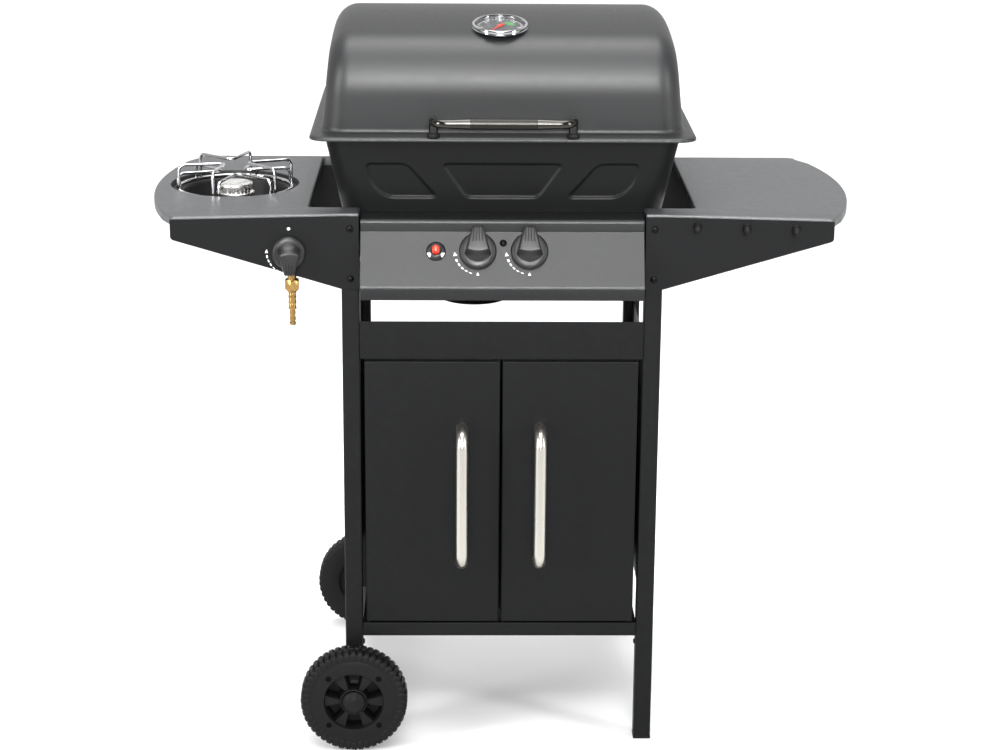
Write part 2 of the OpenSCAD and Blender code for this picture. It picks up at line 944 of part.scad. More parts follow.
// The windows, wider by grow, as blocks that reach d in behind the sloping front face
module window_blocks(d, grow) {
    for (w = windows)
        intersection() {
            translate([0, -box_hd - 20, 0])
                mirror([0, 1, 0])
                    rotate([90, 0, 0])
                        linear_extrude(100)
                            polygon(rounded(grown(w, grow), 9 + grow, 4));
            translate([0, -box_at(828, box_hd) + d / cos(draft), 828])
                rotate([draft, 0, 0])
                    translate([-220, -40, -60])
                        cube([440, 40, 120]);
        }
}

module firebox() {
    wall = 2.5;
    press = 3.5;
    color("#1d1e20")
        difference() {
            union() {
                difference() {
                    box_solid(box_z0, box_z1, 0);
                    difference() {
                        box_solid(box_z0 + wall, box_z1 + 1, wall);
                        window_blocks(press + wall, wall);
                    }
                }
                translate([0, 0, box_z1 - 2.5])
                    linear_extrude(2.5)
                        difference() {
                            polygon(rounded(box_pts(box_hw + 6, box_hd + 6), 42, 8));
                            polygon(rounded(box_pts(box_hw - 2, box_hd - 2), 34, 8));
                        }
                translate([0, 0, grate_z - 4])
                    linear_extrude(4)
                        difference() {
                            polygon(rounded(box_pts(box_at(grate_z, box_hw) - 2,
                                                    box_at(grate_z, box_hd) - 2), 34, 8));
                            polygon(box_pts(box_at(grate_z, box_hw) - 16,
                                            box_at(grate_z, box_hd) - 16));
                        }
            }
            window_blocks(press, 0);
            for (x = [knob_x1, knob_x2])
                translate([x, -box_hd, burner_z])
                    rotate([-90, 0, 0])
                        cylinder(r = 13.5, h = 80);
            translate([cup_x, cup_y, box_z0 - 1])
                cylinder(r = 12, h = 6);
        }
}

// Tube burners: a venturi at the front, a crossover to the side, then the ported tube
module burners() {
    r = 12.5;
    out = 66;
    cross = [-75, -45];
    back = 125;
    for (s = [-1, 1]) {
        x0 = s < 0 ? knob_x1 : knob_x2;
        x1 = x0 + s * out;
        color("#a9a8a3") {
            translate([x0, manifold_y, burner_z])
                rotate([-90, 0, 0])
                    cylinder(r = r, h = cross[1] - 5 - manifold_y);
            translate([min(x0, x1) - r - 1, cross[0], burner_z - r - 1])
                cube([out + 2 * r + 2, cross[1] - cross[0], 2 * r + 2]);
            translate([x1, cross[0] + 5, burner_z])
                rotate([-90, 0, 0])
                    cylinder(r = r, h = back - cross[0] - 5);
        }
    }
}

// Angled covers that shield the burners from dripping fat
module heat_plates() {
    z = 800;
    for (s = [-1, 1])
        color("#8f8f8c")
            translate([s * 105, 0, z])
                rotate([90, 0, 0])
                    linear_extrude(300, center = true)
                        polygon([[-70, -26], [-70, -24.5], [0, 12], [70, -24.5], [70, -26], [0, 10.4]]);
}

module cooking_grate() {
    hw = box_at(grate_z, box_hw) - 4.5;
    hd = box_at(grate_z, box_hd) - 4.5;
    pitch = 18;
    count = 24;
    color("#2b2b2b")
        translate([0, 0, grate_z])
            linear_extrude(7)
                difference() {
                    polygon(rounded(box_pts(hw, hd), 30, 6));
                    for (i = [0:count - 1], row = [-1, 1])
                        translate([(i - (count - 1) / 2) * pitch - 5.5, row > 0 ? 5 : 10 - hd])
                            square([11, hd - 15]);
                }
}

// Cup that catches the fat, hung under the drain hole
module grease_cup() {
    color("#38393b")
        translate([cup_x, cup_y, 0])
            rotate_extrude()
                polygon([[0, cup_z0], [cup_r - 4, cup_z0], [cup_r - 1, cup_z0 + 3], [cup_r, cup_z1 - 1],
                         [cup_r + 4, cup_z1 - 1], [cup_r + 4, cup_z1], [cup_r - 1, cup_z1],
                         [cup_r - 2, cup_z0 + 3.5], [cup_r - 5, cup_z0 + 1], [0, cup_z0 + 1]]);
}

module cup_hanger() {
    color("#9a9a98")
        for (s = [0, 1])
            translate([cup_x, cup_y, 0])
                mirror([s, 0, 0]) {
                    translate([cup_r + 4.2, -7, cup_z1 - 5])
                        cube([1.6, 14, box_z0 - cup_z1 + 5]);
                    translate([cup_r + 1, -7, cup_z1 - 2.6])
                        cube([4, 14, 1.6]);
                }
}

// ---- Lid ----

// Centres of the edge fillets along the lid's side profile, from front to back, in (Y, Z)
function lid_path(r) =
    let (k = corner_r - r, c = [corner_y, corner_z], top = [0, lid_top_z - crown_r])
    concat(arc([-c[0], c[1]], k, 186.6, 102.6, 6),
           arc(top, crown_r - r, 99, 81, 4),
           arc(c, k, 77.4, -6.6, 6));

// Solid shape of the lid, drawn in from the outside by inset
module lid_solid(inset) {
    r = fillet_r - inset;
    hull() {
        for (s = [-1, 1], p = lid_path(fillet_r))
            translate([s * (lid_end_x + lid_taper * (lid_top_z - fillet_r - p[1])), p[0], p[1]])
                sphere(r, $fn = 28);
        translate([0, 0, lid_z0 - 1 - inset])
            linear_extrude(1)
                polygon(rounded(box_pts(250 - inset, lid_y0 - inset), 36 - inset, 6));
    }
}

module lid_shell() {
    color("#46484b")
        difference() {
            union() {
                lid_solid(0);
                translate([0, 0, lid_z0 - 3])
                    linear_extrude(3)
                        polygon(rounded(box_pts(rim_hw, rim_hd), 26, 8));
                translate([0, 0, rim_z0])
                    linear_extrude(lid_z0 - rim_z0)
                        difference() {
                            polygon(rounded(box_pts(rim_hw, rim_hd), 26, 8));
                            polygon(rounded(box_pts(rim_hw - 2, rim_hd - 2), 24, 8));
                        }
            }
            lid_solid(lid_wall);
            translate([0, 0, rim_z0 - 1])
                linear_extrude(lid_z0 - rim_z0)
                    polygon(rounded(box_pts(250 - lid_wall, lid_y0 - lid_wall), 34, 6));
            translate([gauge_x, gauge_y, gauge_z])
                rotate([gauge_tilt, 0, 0])
                    cylinder(r = 5.2, h = 30, center = true);
        }
}

// Lugs on the lid's rear rim
module lid_hinge_ears() {
    for (s = [-1, 1])
        color("#46484b")
            translate([s * hinge_x, 0, 0])
                side_plate(8)
                    difference() {
                        union() {
                            translate([hinge_y, hinge_z])
                                circle(8);
                            translate([hinge_y - 8, hinge_z])
                                square([12, lid_z0 + 4.5 - hinge_z]);
                            translate([lid_y0 + 4, lid_z0])
                                square([hinge_y + 4 - lid_y0 - 4, 4.5]);
                        }
                        translate([hinge_y, hinge_z])
                            circle(hinge_pin_r + run_fit);
                    }
}

// Fixed brackets on the firebox's rear wall, one ear on each side of every lug
module hinge_brackets() {
    low = 868;
    high = 887;
    for (s = [-1, 1], e = [-1, 1])
        color(black)
            translate([s * hinge_x + e * 6.5, 0, 0])
                side_plate(4)
                    difference() {
                        union() {
                            translate([hinge_y, hinge_z])
                                circle(8);
                            polygon([[box_at(low, box_hd), low], [hinge_y, hinge_z - 8],
                                     [hinge_y, high], [box_at(high, box_hd), high]]);
                        }
                        translate([hinge_y, hinge_z])
                            circle(hinge_pin_r + 0.02);
                    }
}

module lid_handle_grip() {
    color("#8c8580")
        translate([-grip_half, grip_y, grip_z])
            rotate([0, 90, 0])
                cylinder(r = 7.5, h = 2 * grip_half);
}

// Plated ends of the handle: taper, turn back, then turn down to the rim
module lid_handle_ends() {
    end_r = 6;
    turn = 18;
    drop = 12;
    for (s = [0, 1])
        mirror([s, 0, 0])
            color("#6d6f72") {
                translate([grip_half, grip_y, grip_z])
                    rotate([0, 90, 0])
                        cylinder(r1 = 7.4, r2 = end_r, h = lid_post_x - turn - grip_half);
                translate([lid_post_x - turn, grip_y + turn, grip_z])
                    rotate(-90)
                        bend(turn, end_r, 90);
                translate([lid_post_x, grip_y + turn, grip_z])
                    rotate([-90, 0, 0])
                        cylinder(r = end_r, h = lid_post_y - drop - grip_y - turn);
                translate([lid_post_x, lid_post_y - drop, grip_z - drop])
                    rotate([90, 0, 90])
                        bend(drop, end_r, 90);
                translate([lid_post_x, lid_post_y, lid_z0 + 6])
                    cylinder(r = end_r, h = grip_z - drop - lid_z0 - 6);
            }
}

module lid_handle_spacers() {
    for (s = [-1, 1])
        color("#161616")
            translate([s * lid_post_x, lid_post_y, lid_z0])
                cylinder(r = 8.5, h = 6);
}

// Children stand on the lid where the thermometer sits
module on_lid() {
    translate([gauge_x, gauge_y, gauge_z])
        rotate([gauge_tilt, 0, 0])
            children();
}

// Thermometer case with its bezel, dial floor and probe
module gauge_case() {
    color("#c9cbcd")
        on_lid() {
            rotate_extrude()
                polygon([[0, 0], [gauge_r - 2, 0], [gauge_r, 2], [gauge_r, gauge_h - 1],
                         [gauge_r - 1, gauge_h], [gauge_r - 3.5, gauge_h], [gauge_r - 4, gauge_h - 1],
                         [gauge_r - 4, 2.5], [0, 2.5]]);
            translate([0, 0, -60])
                cylinder(r = 3, h = 61);
        }
}

// Pointer on its hub, over the dial
module gauge_needle() {
    color("#c33a2c")
        on_lid()
            translate([0, 0, 3]) {
                cylinder(r = 4, h = 1.6);
                rotate(150)
                    linear_extrude(0.8)
                        polygon([[-2, -10], [2, -10], [0.6, 26], [-0.6, 26]]);
            }
}

module gauge_glass() {
    color([0.8, 0.85, 0.9, 0.3])
        on_lid()
            translate([0, 0, gauge_h - 2.6])
                cylinder(r = gauge_r - 4, h = 1.2);
}

leg_front_left();
leg_rear_left();
leg_front_right();
leg_rear_right();
leg_plugs();
axle();
axle_caps();
wheel_front();
wheel_rear();
bottom_shelf();
side_panels();
back_panel();
fascia();
support_rails();
door_left();
door_right();
door_handle_left();
door_handle_right();
door_catch();
hinge_pins();
shelf_top_left();
shelf_top_right();
apron_front_left();
apron_front_right();
aprons_rear();
tool_pegs();
panel_screws();
control_panel();
gas_manifold();
burner_valves();
side_valve();
side_gas_pipe();
hose_tail();
valve_stem_left();
valve_stem_right();
valve_stem_side();
knob_left();
knob_right();
knob_side();
igniter_housing();
igniter_button();
side_burner_bowl();
side_burner_head();
side_burner_cap();
pan_support();
firebox();
burners();
heat_plates();
cooking_grate();
grease_cup();
cup_hanger();
lid_shell();
lid_hinge_ears();
hinge_brackets();
lid_handle_grip();
lid_handle_ends();
lid_handle_spacers();
gauge_case();
gauge_needle();
gauge_glass();
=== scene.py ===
# Gas barbecue grill on a wheeled cart: the visual model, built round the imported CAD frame.
# Shapes are written in millimetres in the CAD frame (X right, Y back, Z up) and stored in metres.
import json
from math import asin, atan2, copysign, cos, degrees, hypot, inf, pi, radians, sin, sqrt, tan

import bmesh
import bpy
from mathutils import Matrix, Vector


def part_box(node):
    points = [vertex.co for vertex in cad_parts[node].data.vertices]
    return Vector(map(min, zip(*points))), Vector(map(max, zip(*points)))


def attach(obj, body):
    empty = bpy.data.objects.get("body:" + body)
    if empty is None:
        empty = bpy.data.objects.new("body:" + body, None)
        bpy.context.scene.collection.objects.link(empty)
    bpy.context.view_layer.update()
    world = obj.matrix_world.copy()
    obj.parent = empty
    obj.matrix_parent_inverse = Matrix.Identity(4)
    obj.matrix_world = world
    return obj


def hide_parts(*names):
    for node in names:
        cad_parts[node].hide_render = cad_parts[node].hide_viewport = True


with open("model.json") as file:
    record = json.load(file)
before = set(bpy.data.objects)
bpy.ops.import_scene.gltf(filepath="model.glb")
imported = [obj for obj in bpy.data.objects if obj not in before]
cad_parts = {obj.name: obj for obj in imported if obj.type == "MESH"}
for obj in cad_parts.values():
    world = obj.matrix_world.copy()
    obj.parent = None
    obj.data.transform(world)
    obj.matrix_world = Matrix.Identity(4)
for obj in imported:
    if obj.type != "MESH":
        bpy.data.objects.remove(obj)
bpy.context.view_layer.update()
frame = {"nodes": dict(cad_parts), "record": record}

MM = 0.001
SHEET = 1.2     # thickness of the sheet metal, mm
IDENTITY = Matrix.Identity(4)


def added(name, data):
    """A new object in the scene."""
    obj = bpy.data.objects.new(name, data)
    bpy.context.scene.collection.objects.link(obj)
    return obj


# ---- camera and light ----

CAMERA_AT = (-0.05991, -3.37741, 1.50955)
CAMERA_PITCH, CAMERA_YAW, CAMERA_ROLL = (radians(a) for a in (16.7236, 1.0468, 0.4292))
LENS, SENSOR = 85.036, 36.0


def make_camera():
    """The photograph's viewpoint: a long lens a little above the lid, looking down."""
    data = bpy.data.cameras.new("camera")
    data.lens, data.sensor_width = LENS, SENSOR
    data.clip_end = 100
    cam = added("camera", data)
    sa, ca = sin(CAMERA_YAW), cos(CAMERA_YAW)
    sp, cp = sin(CAMERA_PITCH), cos(CAMERA_PITCH)
    sr, cr = sin(CAMERA_ROLL), cos(CAMERA_ROLL)
    forward = Vector((sa * cp, ca * cp, -sp))
    right, up = Vector((ca, -sa, 0)), Vector((sa * sp, ca * sp, cp))
    axes = (right * cr + up * sr, up * cr - right * sr, -forward)
    cam.matrix_world = Matrix.Translation(CAMERA_AT) @ Matrix(axes).transposed().to_4x4()
    bpy.context.scene.camera = cam


# name, place, aim and size in metres, power in watts, spread in degrees
AREA_LIGHTS = (("front", (0.0, -4.6, 2.40), (0, -0.15, 0.97), (3.2, 1.5), 25, 24),
               ("upper", (0.0, -2.5, 3.15), (0, -0.15, 0.95), (3.0, 1.3), 7, 34),
               ("top", (0.0, 0.3, 3.2), (0, 0, 0.95), (2.4, 1.0), 15, 100),
               ("left_strip", (-2.5, -1.7, 1.5), (0, 0, 0.7), (0.5, 2.2), 18, 80),
               ("right_strip", (2.5, -1.7, 1.5), (0, 0, 0.7), (0.5, 2.2), 12, 80))
SUN_AIM, SUN_STRENGTH, SUN_ANGLE = (0.0, 0.12, -1.0), 2.4, 50
# between these two y of the unit sphere the world's strength goes from the first to the second
WORLD_FADE = (-0.35, 0.45, 0.12, 0.95)


def set_range(node, *values):
    """From Min, From Max, To Min and To Max of a Map Range node."""
    for key, value in zip(("From Min", "From Max", "To Min", "To Max"), values):
        node.inputs[key].default_value = value


def turned_to(lamp, heading):
    lamp.rotation_euler = heading.to_track_quat("-Z", "Y").to_euler()


def area_light(name, at, aim, size, power, spread):
    data = bpy.data.lights.new(name, "AREA")
    data.shape, data.size, data.size_y = "RECTANGLE", *size
    data.energy, data.spread = power, radians(spread)
    lamp = added(name, data)
    lamp.location = at
    turned_to(lamp, Vector(aim) - Vector(at))


def make_studio():
    """A white room behind the grill and a darker one in front, with the key light in front."""
    bpy.context.scene.view_settings.view_transform = "Standard"
    sun = bpy.data.lights.new("ceiling", "SUN")
    sun.energy, sun.angle = SUN_STRENGTH, radians(SUN_ANGLE)
    turned_to(added("ceiling", sun), Vector(SUN_AIM))
    for light in AREA_LIGHTS:
        area_light(*light)
    world = bpy.data.worlds.new("studio")
    bpy.context.scene.world = world
    world.use_nodes = True
    nodes, links = world.node_tree.nodes, world.node_tree.links
    background = nodes["Background"]
    background.inputs["Color"].default_value = (1, 1, 1, 1)
    parts = nodes.new("ShaderNodeSeparateXYZ")
    links.new(nodes.new("ShaderNodeTexCoord").outputs["Generated"], parts.inputs["Vector"])
    fade = nodes.new("ShaderNodeMapRange")
    set_range(fade, *WORLD_FADE)
    links.new(parts.outputs["Y"], fade.inputs["Value"])
    links.new(fade.outputs["Result"], background.inputs["Strength"])


# ---- materials ----

# the values between which noise is spread out, and those of a convex edge's pointiness
NOISE_SPAN, EDGE_SPAN = (0.3, 0.7), (0.52, 0.60)


class Look:
    """A Principled material whose colour, roughness and relief come from object-space noise."""

    def __init__(self, name):
        self.material = bpy.data.materials.new(name)
        self.material.use_nodes = True
        self.tree = self.material.node_tree
        self.shader = self.tree.nodes["Principled BSDF"]
        self.place = self.tree.nodes.new("ShaderNodeTexCoord").outputs["Object"]

    def node(self, kind, **values):
        made = self.tree.nodes.new(kind)
        for key, value in values.items():
            setattr(made, key, value)
        return made

    def link(self, value, socket):
        """Feeds a socket from another node's output, or with a fixed colour."""
        if isinstance(value, tuple):
            socket.default_value = (*value, 1)
        else:
            self.tree.links.new(value, socket)

    def noise(self, size, detail=2.0, stretch=None):
        """Noise with features of about size mm; stretch draws it out along the axes given."""
        place = self.place
        if stretch:
            mapping = self.node("ShaderNodeMapping")
            mapping.inputs["Scale"].default_value = stretch
            self.link(place, mapping.inputs["Vector"])
            place = mapping.outputs["Vector"]
        tex = self.node("ShaderNodeTexNoise")
        tex.inputs["Scale"].default_value = 1000.0 / size
        tex.inputs["Detail"].default_value = detail
        self.link(place, tex.inputs["Vector"])
        return tex.outputs["Fac"]

    def ramp(self, source, low, high, out_low=0.0, out_high=1.0):
        span = self.node("ShaderNodeMapRange")
        set_range(span, low, high, out_low, out_high)
        self.link(source, span.inputs["Value"])
        return span.outputs["Result"]

    def mix(self, factor, a, b):
        mixer = self.node("ShaderNodeMix", data_type="RGBA")
        self.link(factor, mixer.inputs["Factor"])
        self.link(a, mixer.inputs[6])
        self.link(b, mixer.inputs[7])
        return mixer.outputs[2]

    def mottled(self, color, tint, size, detail, stretch=None):
        """A colour that varies by tint either way, in patches of about size mm."""
        return self.mix(self.ramp(self.noise(size, detail, stretch), *NOISE_SPAN),
                        scaled(color, 1 - tint), scaled(color, 1 + tint))

    def lighter_edges(self, amount):
        """Convex edges, broken up by noise."""
        edge = self.ramp(self.node("ShaderNodeNewGeometry").outputs["Pointiness"], *EDGE_SPAN)
        patches = self.ramp(self.noise(9, 4), 0.45, 0.7, 0, amount)
        product = self.node("ShaderNodeMath", operation="MULTIPLY")
        self.link(edge, product.inputs[0])
        self.link(patches, product.inputs[1])
        return product.outputs[0]

    def color(self, value):
        self.link(value, self.shader.inputs["Base Color"])

    def rough(self, value, spread, size=14, stretch=None):
        source = self.noise(size, 3, stretch)
        self.link(self.ramp(source, *NOISE_SPAN, value - spread, value + spread),
                  self.shader.inputs["Roughness"])

    def relief(self, *layers):
        """Bump from (noise size mm, depth mm, stretch) layers."""
        normal = None
        for size, depth, stretch in layers:
            bump = self.node("ShaderNodeBump")
            bump.inputs["Distance"].default_value = depth * MM
            self.link(self.noise(size, 3, stretch), bump.inputs["Height"])
            if normal:
                self.link(normal, bump.inputs["Normal"])
            normal = bump.outputs["Normal"]
        self.link(normal, self.shader.inputs["Normal"])

    def set(self, **values):
        for key, value in values.items():
            self.shader.inputs[key.replace("_", " ")].default_value = value
        return self


def scaled(color, k):
    return tuple(c * k for c in color)


def powder_coat(name, color, rough=0.42, specular=0.4, tint=0.05, edge_share=0.16, grain=0.9,
                depth=0.022, patch=1.6, edge_gain=3.0, rough_noise=(0.025, 6)):
    """Fine-textured satin coat on steel, lighter on its convex edges.

    tint is how far the colour varies in patches of the size patch, edge_share how much of the
    convex edges is lightened to edge_gain times the colour, and grain and depth the size of the
    relief in mm."""
    look = Look(name)
    base = look.mottled(color, tint, patch, 3)
    look.color(look.mix(look.lighter_edges(edge_share), base, scaled(color, edge_gain)))
    look.rough(rough, *rough_noise)
    look.relief((grain, depth, None))
    return look.set(Specular_IOR_Level=specular).material


def metal(name, color, rough, spread=0.05, stretch=None, size=3.0, depth=0.01, tint=0.08):
    """Metal with fine relief over a slow waviness; stretch gives it a brushed direction."""
    look = Look(name)
    look.color(look.mottled(color, tint, 18, 4, stretch))
    look.rough(rough, spread, 10, stretch)
    look.relief((size, depth, stretch), (40, 0.02, None))
    return look.set(Metallic=1.0).material


def plastic(name, color, rough, grain=0.8, depth=0.02, tint=0.1, specular=0.5):
    """Moulded plastic with a fine grain, paler on its convex edges."""
    return powder_coat(name, color, rough, specular, tint, 0.2, grain, depth, 25, 2.2,
                       (0.05, 14))


def clear_glass(name):
    """A thin clear cover: nearly transparent, with a glossy face."""
    look = Look(name)
    look.color((0.02, 0.02, 0.02))
    look.rough(0.05, 0.02, 12)
    look.relief((60, 0.01, None))
    return look.set(Alpha=0.10).material


# noise stretched out along an axis, for brushed metal
ALONG_X, ALONG_Z = (0.06, 1, 1), (1, 1, 0.06)

# One black powder coat in copies made lighter or darker for how the light falls on them: the shelf
# tops' and the panel's copies are painted lighter for the light on their upward faces, and the
# frame's copy is painted darker to take back the light the pale floor throws on its vertical faces.
COAT = powder_coat("powder_black", (0.0036, 0.0038, 0.0041), 0.48, 0.125)
SHELF_LIT_COAT = powder_coat("shelf_grey", (0.036, 0.0375, 0.0395), 0.42, 0.6)
PANEL_LIT_COAT = powder_coat("panel_grey", (0.0048, 0.0051, 0.0055), 0.38, 0.30)
LID = powder_coat("lid_grey", (0.0065, 0.0069, 0.0075), 0.46, 0.46, 0.05, 0.10, 0.8, 0.016)
# painted darker as well, for the shade on the firebox's front, which leans down
FIREBOX = powder_coat("firebox_black", (0.0034, 0.0036, 0.0038), 0.42, 0.15)
BOWL = powder_coat("bowl_black", (0.006, 0.006, 0.006), 0.5, 0.25)
RUBBER = plastic("black_plastic", (0.0042, 0.0042, 0.0041), 0.50, 1.4, 0.03, 0.1, 0.14)
KNOB = plastic("knob_plastic", (0.0070, 0.0070, 0.0075), 0.38, 0.7, 0.012, 0.1, 0.35)
RED = plastic("red_plastic", (0.62, 0.030, 0.010), 0.22, 3.0, 0.006, 0.05)
SCREW = metal("screw_black", (0.012, 0.012, 0.013), 0.42)
SATIN = metal("satin_steel", (0.47, 0.45, 0.41), 0.30, 0.05, ALONG_Z, 1.2, 0.015, 0.04)
PLAIN = metal("plain_steel", (0.50, 0.49, 0.48), 0.38, 0.07, None, 2.0, 0.02, 0.10)
CHROME = metal("bright_chrome", (0.52, 0.52, 0.53), 0.11, 0.04, None, 6.0, 0.004, 0.03)
DARK_CHROME = metal("dark_chrome", (0.055, 0.053, 0.050), 0.16, 0.04, None, 6.0, 0.004, 0.05)
GRIP = metal("grip_steel", (0.028, 0.027, 0.025), 0.34, 0.05, ALONG_X, 1.2, 0.012, 0.06)
BURNER = metal("burner_aluminium", (0.78, 0.77, 0.75), 0.28, 0.07, None, 2.5, 0.02, 0.06)
BRASS = metal("valve_brass", (0.33, 0.205, 0.070), 0.26, 0.06, None, 2.0, 0.012, 0.10)
IRON = powder_coat("grate_iron", (0.014, 0.014, 0.014), 0.55, 0.3, 0.15, 0.3, 2.2, 0.10)
WHITE = plastic("mark_white", (0.80, 0.80, 0.79), 0.45)
DIAL = plastic("dial_grey", (0.055, 0.057, 0.060), 0.40)
GREEN = plastic("dial_green", (0.04, 0.20, 0.05), 0.45)
# painted shade for the insides of the holes in the wheels' faces
DARK = plastic("shadow_black", (0.0012, 0.0012, 0.0012), 0.6, 0.8, 0.02, 0.1, 0.05)
GLASS = clear_glass("gauge_glass")


# ---- mesh helpers ----


MERGE, SLIVER = 0.002, 0.0005   # distances in mm below which points and faces are merged
SHARP, TRIM_SHARP = 32, 40      # degrees between faces from which an edge stays sharp
FLAT, CREASE = 0.5, 30          # degrees: faces flatter are merged, edges sharper are broken


def finished_mesh(name, bm, material):
    mesh = bpy.data.meshes.new(name)
    bm.to_mesh(mesh)
    bm.free()
    mesh.materials.append(material)
    return mesh


def piece(name, bm, material, node=None, sharp=SHARP, body="cart", slot=None):
    """Ends a bmesh drawn in mm: smooth shading split at sharp edges, riding on a body.

    A piece that stands for a CAD node takes its body from the record and hides that node; it also
    reads the node's slot there, which is not used."""
    bmesh.ops.remove_doubles(bm, verts=bm.verts, dist=MERGE)
    bmesh.ops.dissolve_degenerate(bm, edges=bm.edges, dist=SLIVER)
    bmesh.ops.recalc_face_normals(bm, faces=bm.faces)
    bmesh.ops.scale(bm, vec=(MM, MM, MM), verts=bm.verts)
    for edge in bm.edges:
        edge.smooth = (len(edge.link_faces) == 2
                       and edge.calc_face_angle(0) < radians(sharp))
    for face in bm.faces:
        face.smooth = True
    replaces = [node] if node else []
    for part in frame["record"]["subparts"]:
        if part["node"] == node:
            body, slot = body_of_node(node), part["material_slot"]
    obj = added(name, finished_mesh(name, bm, material))
    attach(obj, body)
    if replaces:
        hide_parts(*replaces)


def body_of_node(node):
    bodies = frame["record"]["behaviour"]["bodies"]
    return next(body for body, nodes in bodies.items() if node in nodes)


def box_mm(node):
    low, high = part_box(node)
    return low / MM, high / MM


def everything(bm):
    return bm.verts[:] + bm.edges[:] + bm.faces[:]


def refined(node, material, bevel, segments=1):
    """A CAD node carried over with its flat faces merged and its edges broken."""
    bm = bmesh.new()
    bm.from_mesh(frame["nodes"][node].data)
    bmesh.ops.remove_doubles(bm, verts=bm.verts, dist=1e-6)
    bmesh.ops.scale(bm, vec=(1 / MM,) * 3, verts=bm.verts)
    bmesh.ops.dissolve_limit(bm, angle_limit=radians(FLAT), verts=bm.verts, edges=bm.edges)
    edges = [e for e in bm.edges
             if len(e.link_faces) == 2 and e.calc_face_angle(0) > radians(CREASE)]
    bmesh.ops.bevel(bm, geom=edges, offset=bevel, segments=segments, profile=0.6,
                    affect="EDGES", clamp_overlap=True)
    piece(node + "_trim", bm, material, node, TRIM_SHARP)


def ring_faces(bm, a, b):
    for i in range(len(a)):
        j = (i + 1) % len(a)
        quad = [a[i], a[j], b[j], b[i]]
        quad = [v for k, v in enumerate(quad) if v not in quad[:k]]
        if len(quad) > 2:
            bm.faces.new(quad)


def loft(bm, rings, matrix=IDENTITY, caps=False, loop=False):
    """Skins rings of equal length; caps fills the first and the last, loop joins them."""
    rows = [[bm.verts.new(matrix @ Vector(p)) for p in ring] for ring in rings]
    for a, b in zip(rows, rows[1:]):
        ring_faces(bm, a, b)
    if loop:
        ring_faces(bm, rows[-1], rows[0])
    if caps:
        bm.faces.new(rows[0])
        bm.faces.new(rows[-1])
    return rows


def solid(bm, rings, matrix=IDENTITY):
    """Skins rings and closes both ends, whatever their outline."""
    rows = loft(bm, rings, matrix)
    fill(bm, rows[0])
    fill(bm, rows[-1])


def circle(r, n, z=0.0, at=(0, 0)):
    turns = [2 * pi * i / n for i in range(n)]
    return [(at[0] + r * cos(a), at[1] + r * sin(a), z) for a in turns]


def lathe(bm, profile, n, matrix=IDENTITY):
    """Turns a profile of (radius, z) about local z. Ends at radius 0 close to a point."""
    loft(bm, [circle(r, n, z) for r, z in profile], matrix)


def arc(center, r, a0, a1, n):
    turns = [radians(a0 + (a1 - a0) * i / n) for i in range(n + 1)]
    return [(center[0] + r * cos(a), center[1] + r * sin(a)) for a in turns]


def fillet(points, r, n, closed=False):
    """A polyline, in 2-D or 3-D, with its corners rounded. r is one radius or one per point."""
    pts = [Vector(p) for p in points]
    count, out = len(pts), []
    for i, b in enumerate(pts):
        radius = r[i] if isinstance(r, (list, tuple)) else r
        if (not closed and i in (0, count - 1)) or radius <= 0:
            out.append(b)
            continue
        u, v = (pts[i - 1] - b).normalized(), (pts[(i + 1) % count] - b).normalized()
        half = u.angle(v) / 2
        reach = radius / tan(half)
        middle = b + (u + v).normalized() * radius / sin(half)
        start, end = b + u * reach - middle, b + v * reach - middle
        sweep = start.angle(end)
        for k in range(n + 1):
            t = k / n
            out.append(middle + (start * sin((1 - t) * sweep)
                                 + end * sin(t * sweep)) / sin(sweep))
    return out


def sweep(bm, points, radius, n, closed=False, matrix=IDENTITY):
    """A round bar along a 3-D path; radius is one value or one per point."""
    pts = [Vector(p) for p in points]
    count = len(pts)
    radii = radius if isinstance(radius, (list, tuple)) else [radius] * count
    rings, side = [], None
    for i, p in enumerate(pts):
        before = pts[i - 1] if i or closed else p
        after = pts[(i + 1) % count] if i < count - 1 or closed else p
        heading = (after - before).normalized()
        if side is None:
            side = heading.orthogonal().normalized()
        side = (side - heading * side.dot(heading)).normalized()
        other = heading.cross(side)
        rings.append([p + (side * cos(t) + other * sin(t)) * radii[i]
                      for t in (2 * pi * k / n for k in range(n))])
    loft(bm, rings, matrix, caps=not closed, loop=closed)


def inset(loop, d, closed=True):
    """A 2-D line moved to its left by d: a counter-clockwise loop moves inwards."""
    pts = [Vector(p[:2]) for p in loop]
    out = []
    for i, b in enumerate(pts):
        u = (b - pts[i - 1]).normalized() if closed or i else (pts[1] - b).normalized()
        v = (pts[(i + 1) % len(pts)] - b).normalized() if closed or b != pts[-1] else u
        left_u, left_v = Vector((-u.y, u.x)), Vector((-v.y, v.x))
        middle = (left_u + left_v).normalized()
        out.append(b + middle * d / max(middle.dot(left_u), 0.3))
    return out


def at_z(loop, z):
    return [(p[0], p[1], z) for p in loop]


def fill(bm, *loops):
    """A flat face bounded by the first loop of vertices, with the others as holes."""
    edges = []
    for loop in loops:
        for i, v in enumerate(loop):
            w = loop[(i + 1) % len(loop)]
            edges.append(bm.edges.get((v, w)) or bm.edges.new((v, w)))
    bmesh.ops.triangle_fill(bm, edges=edges, use_beauty=True)


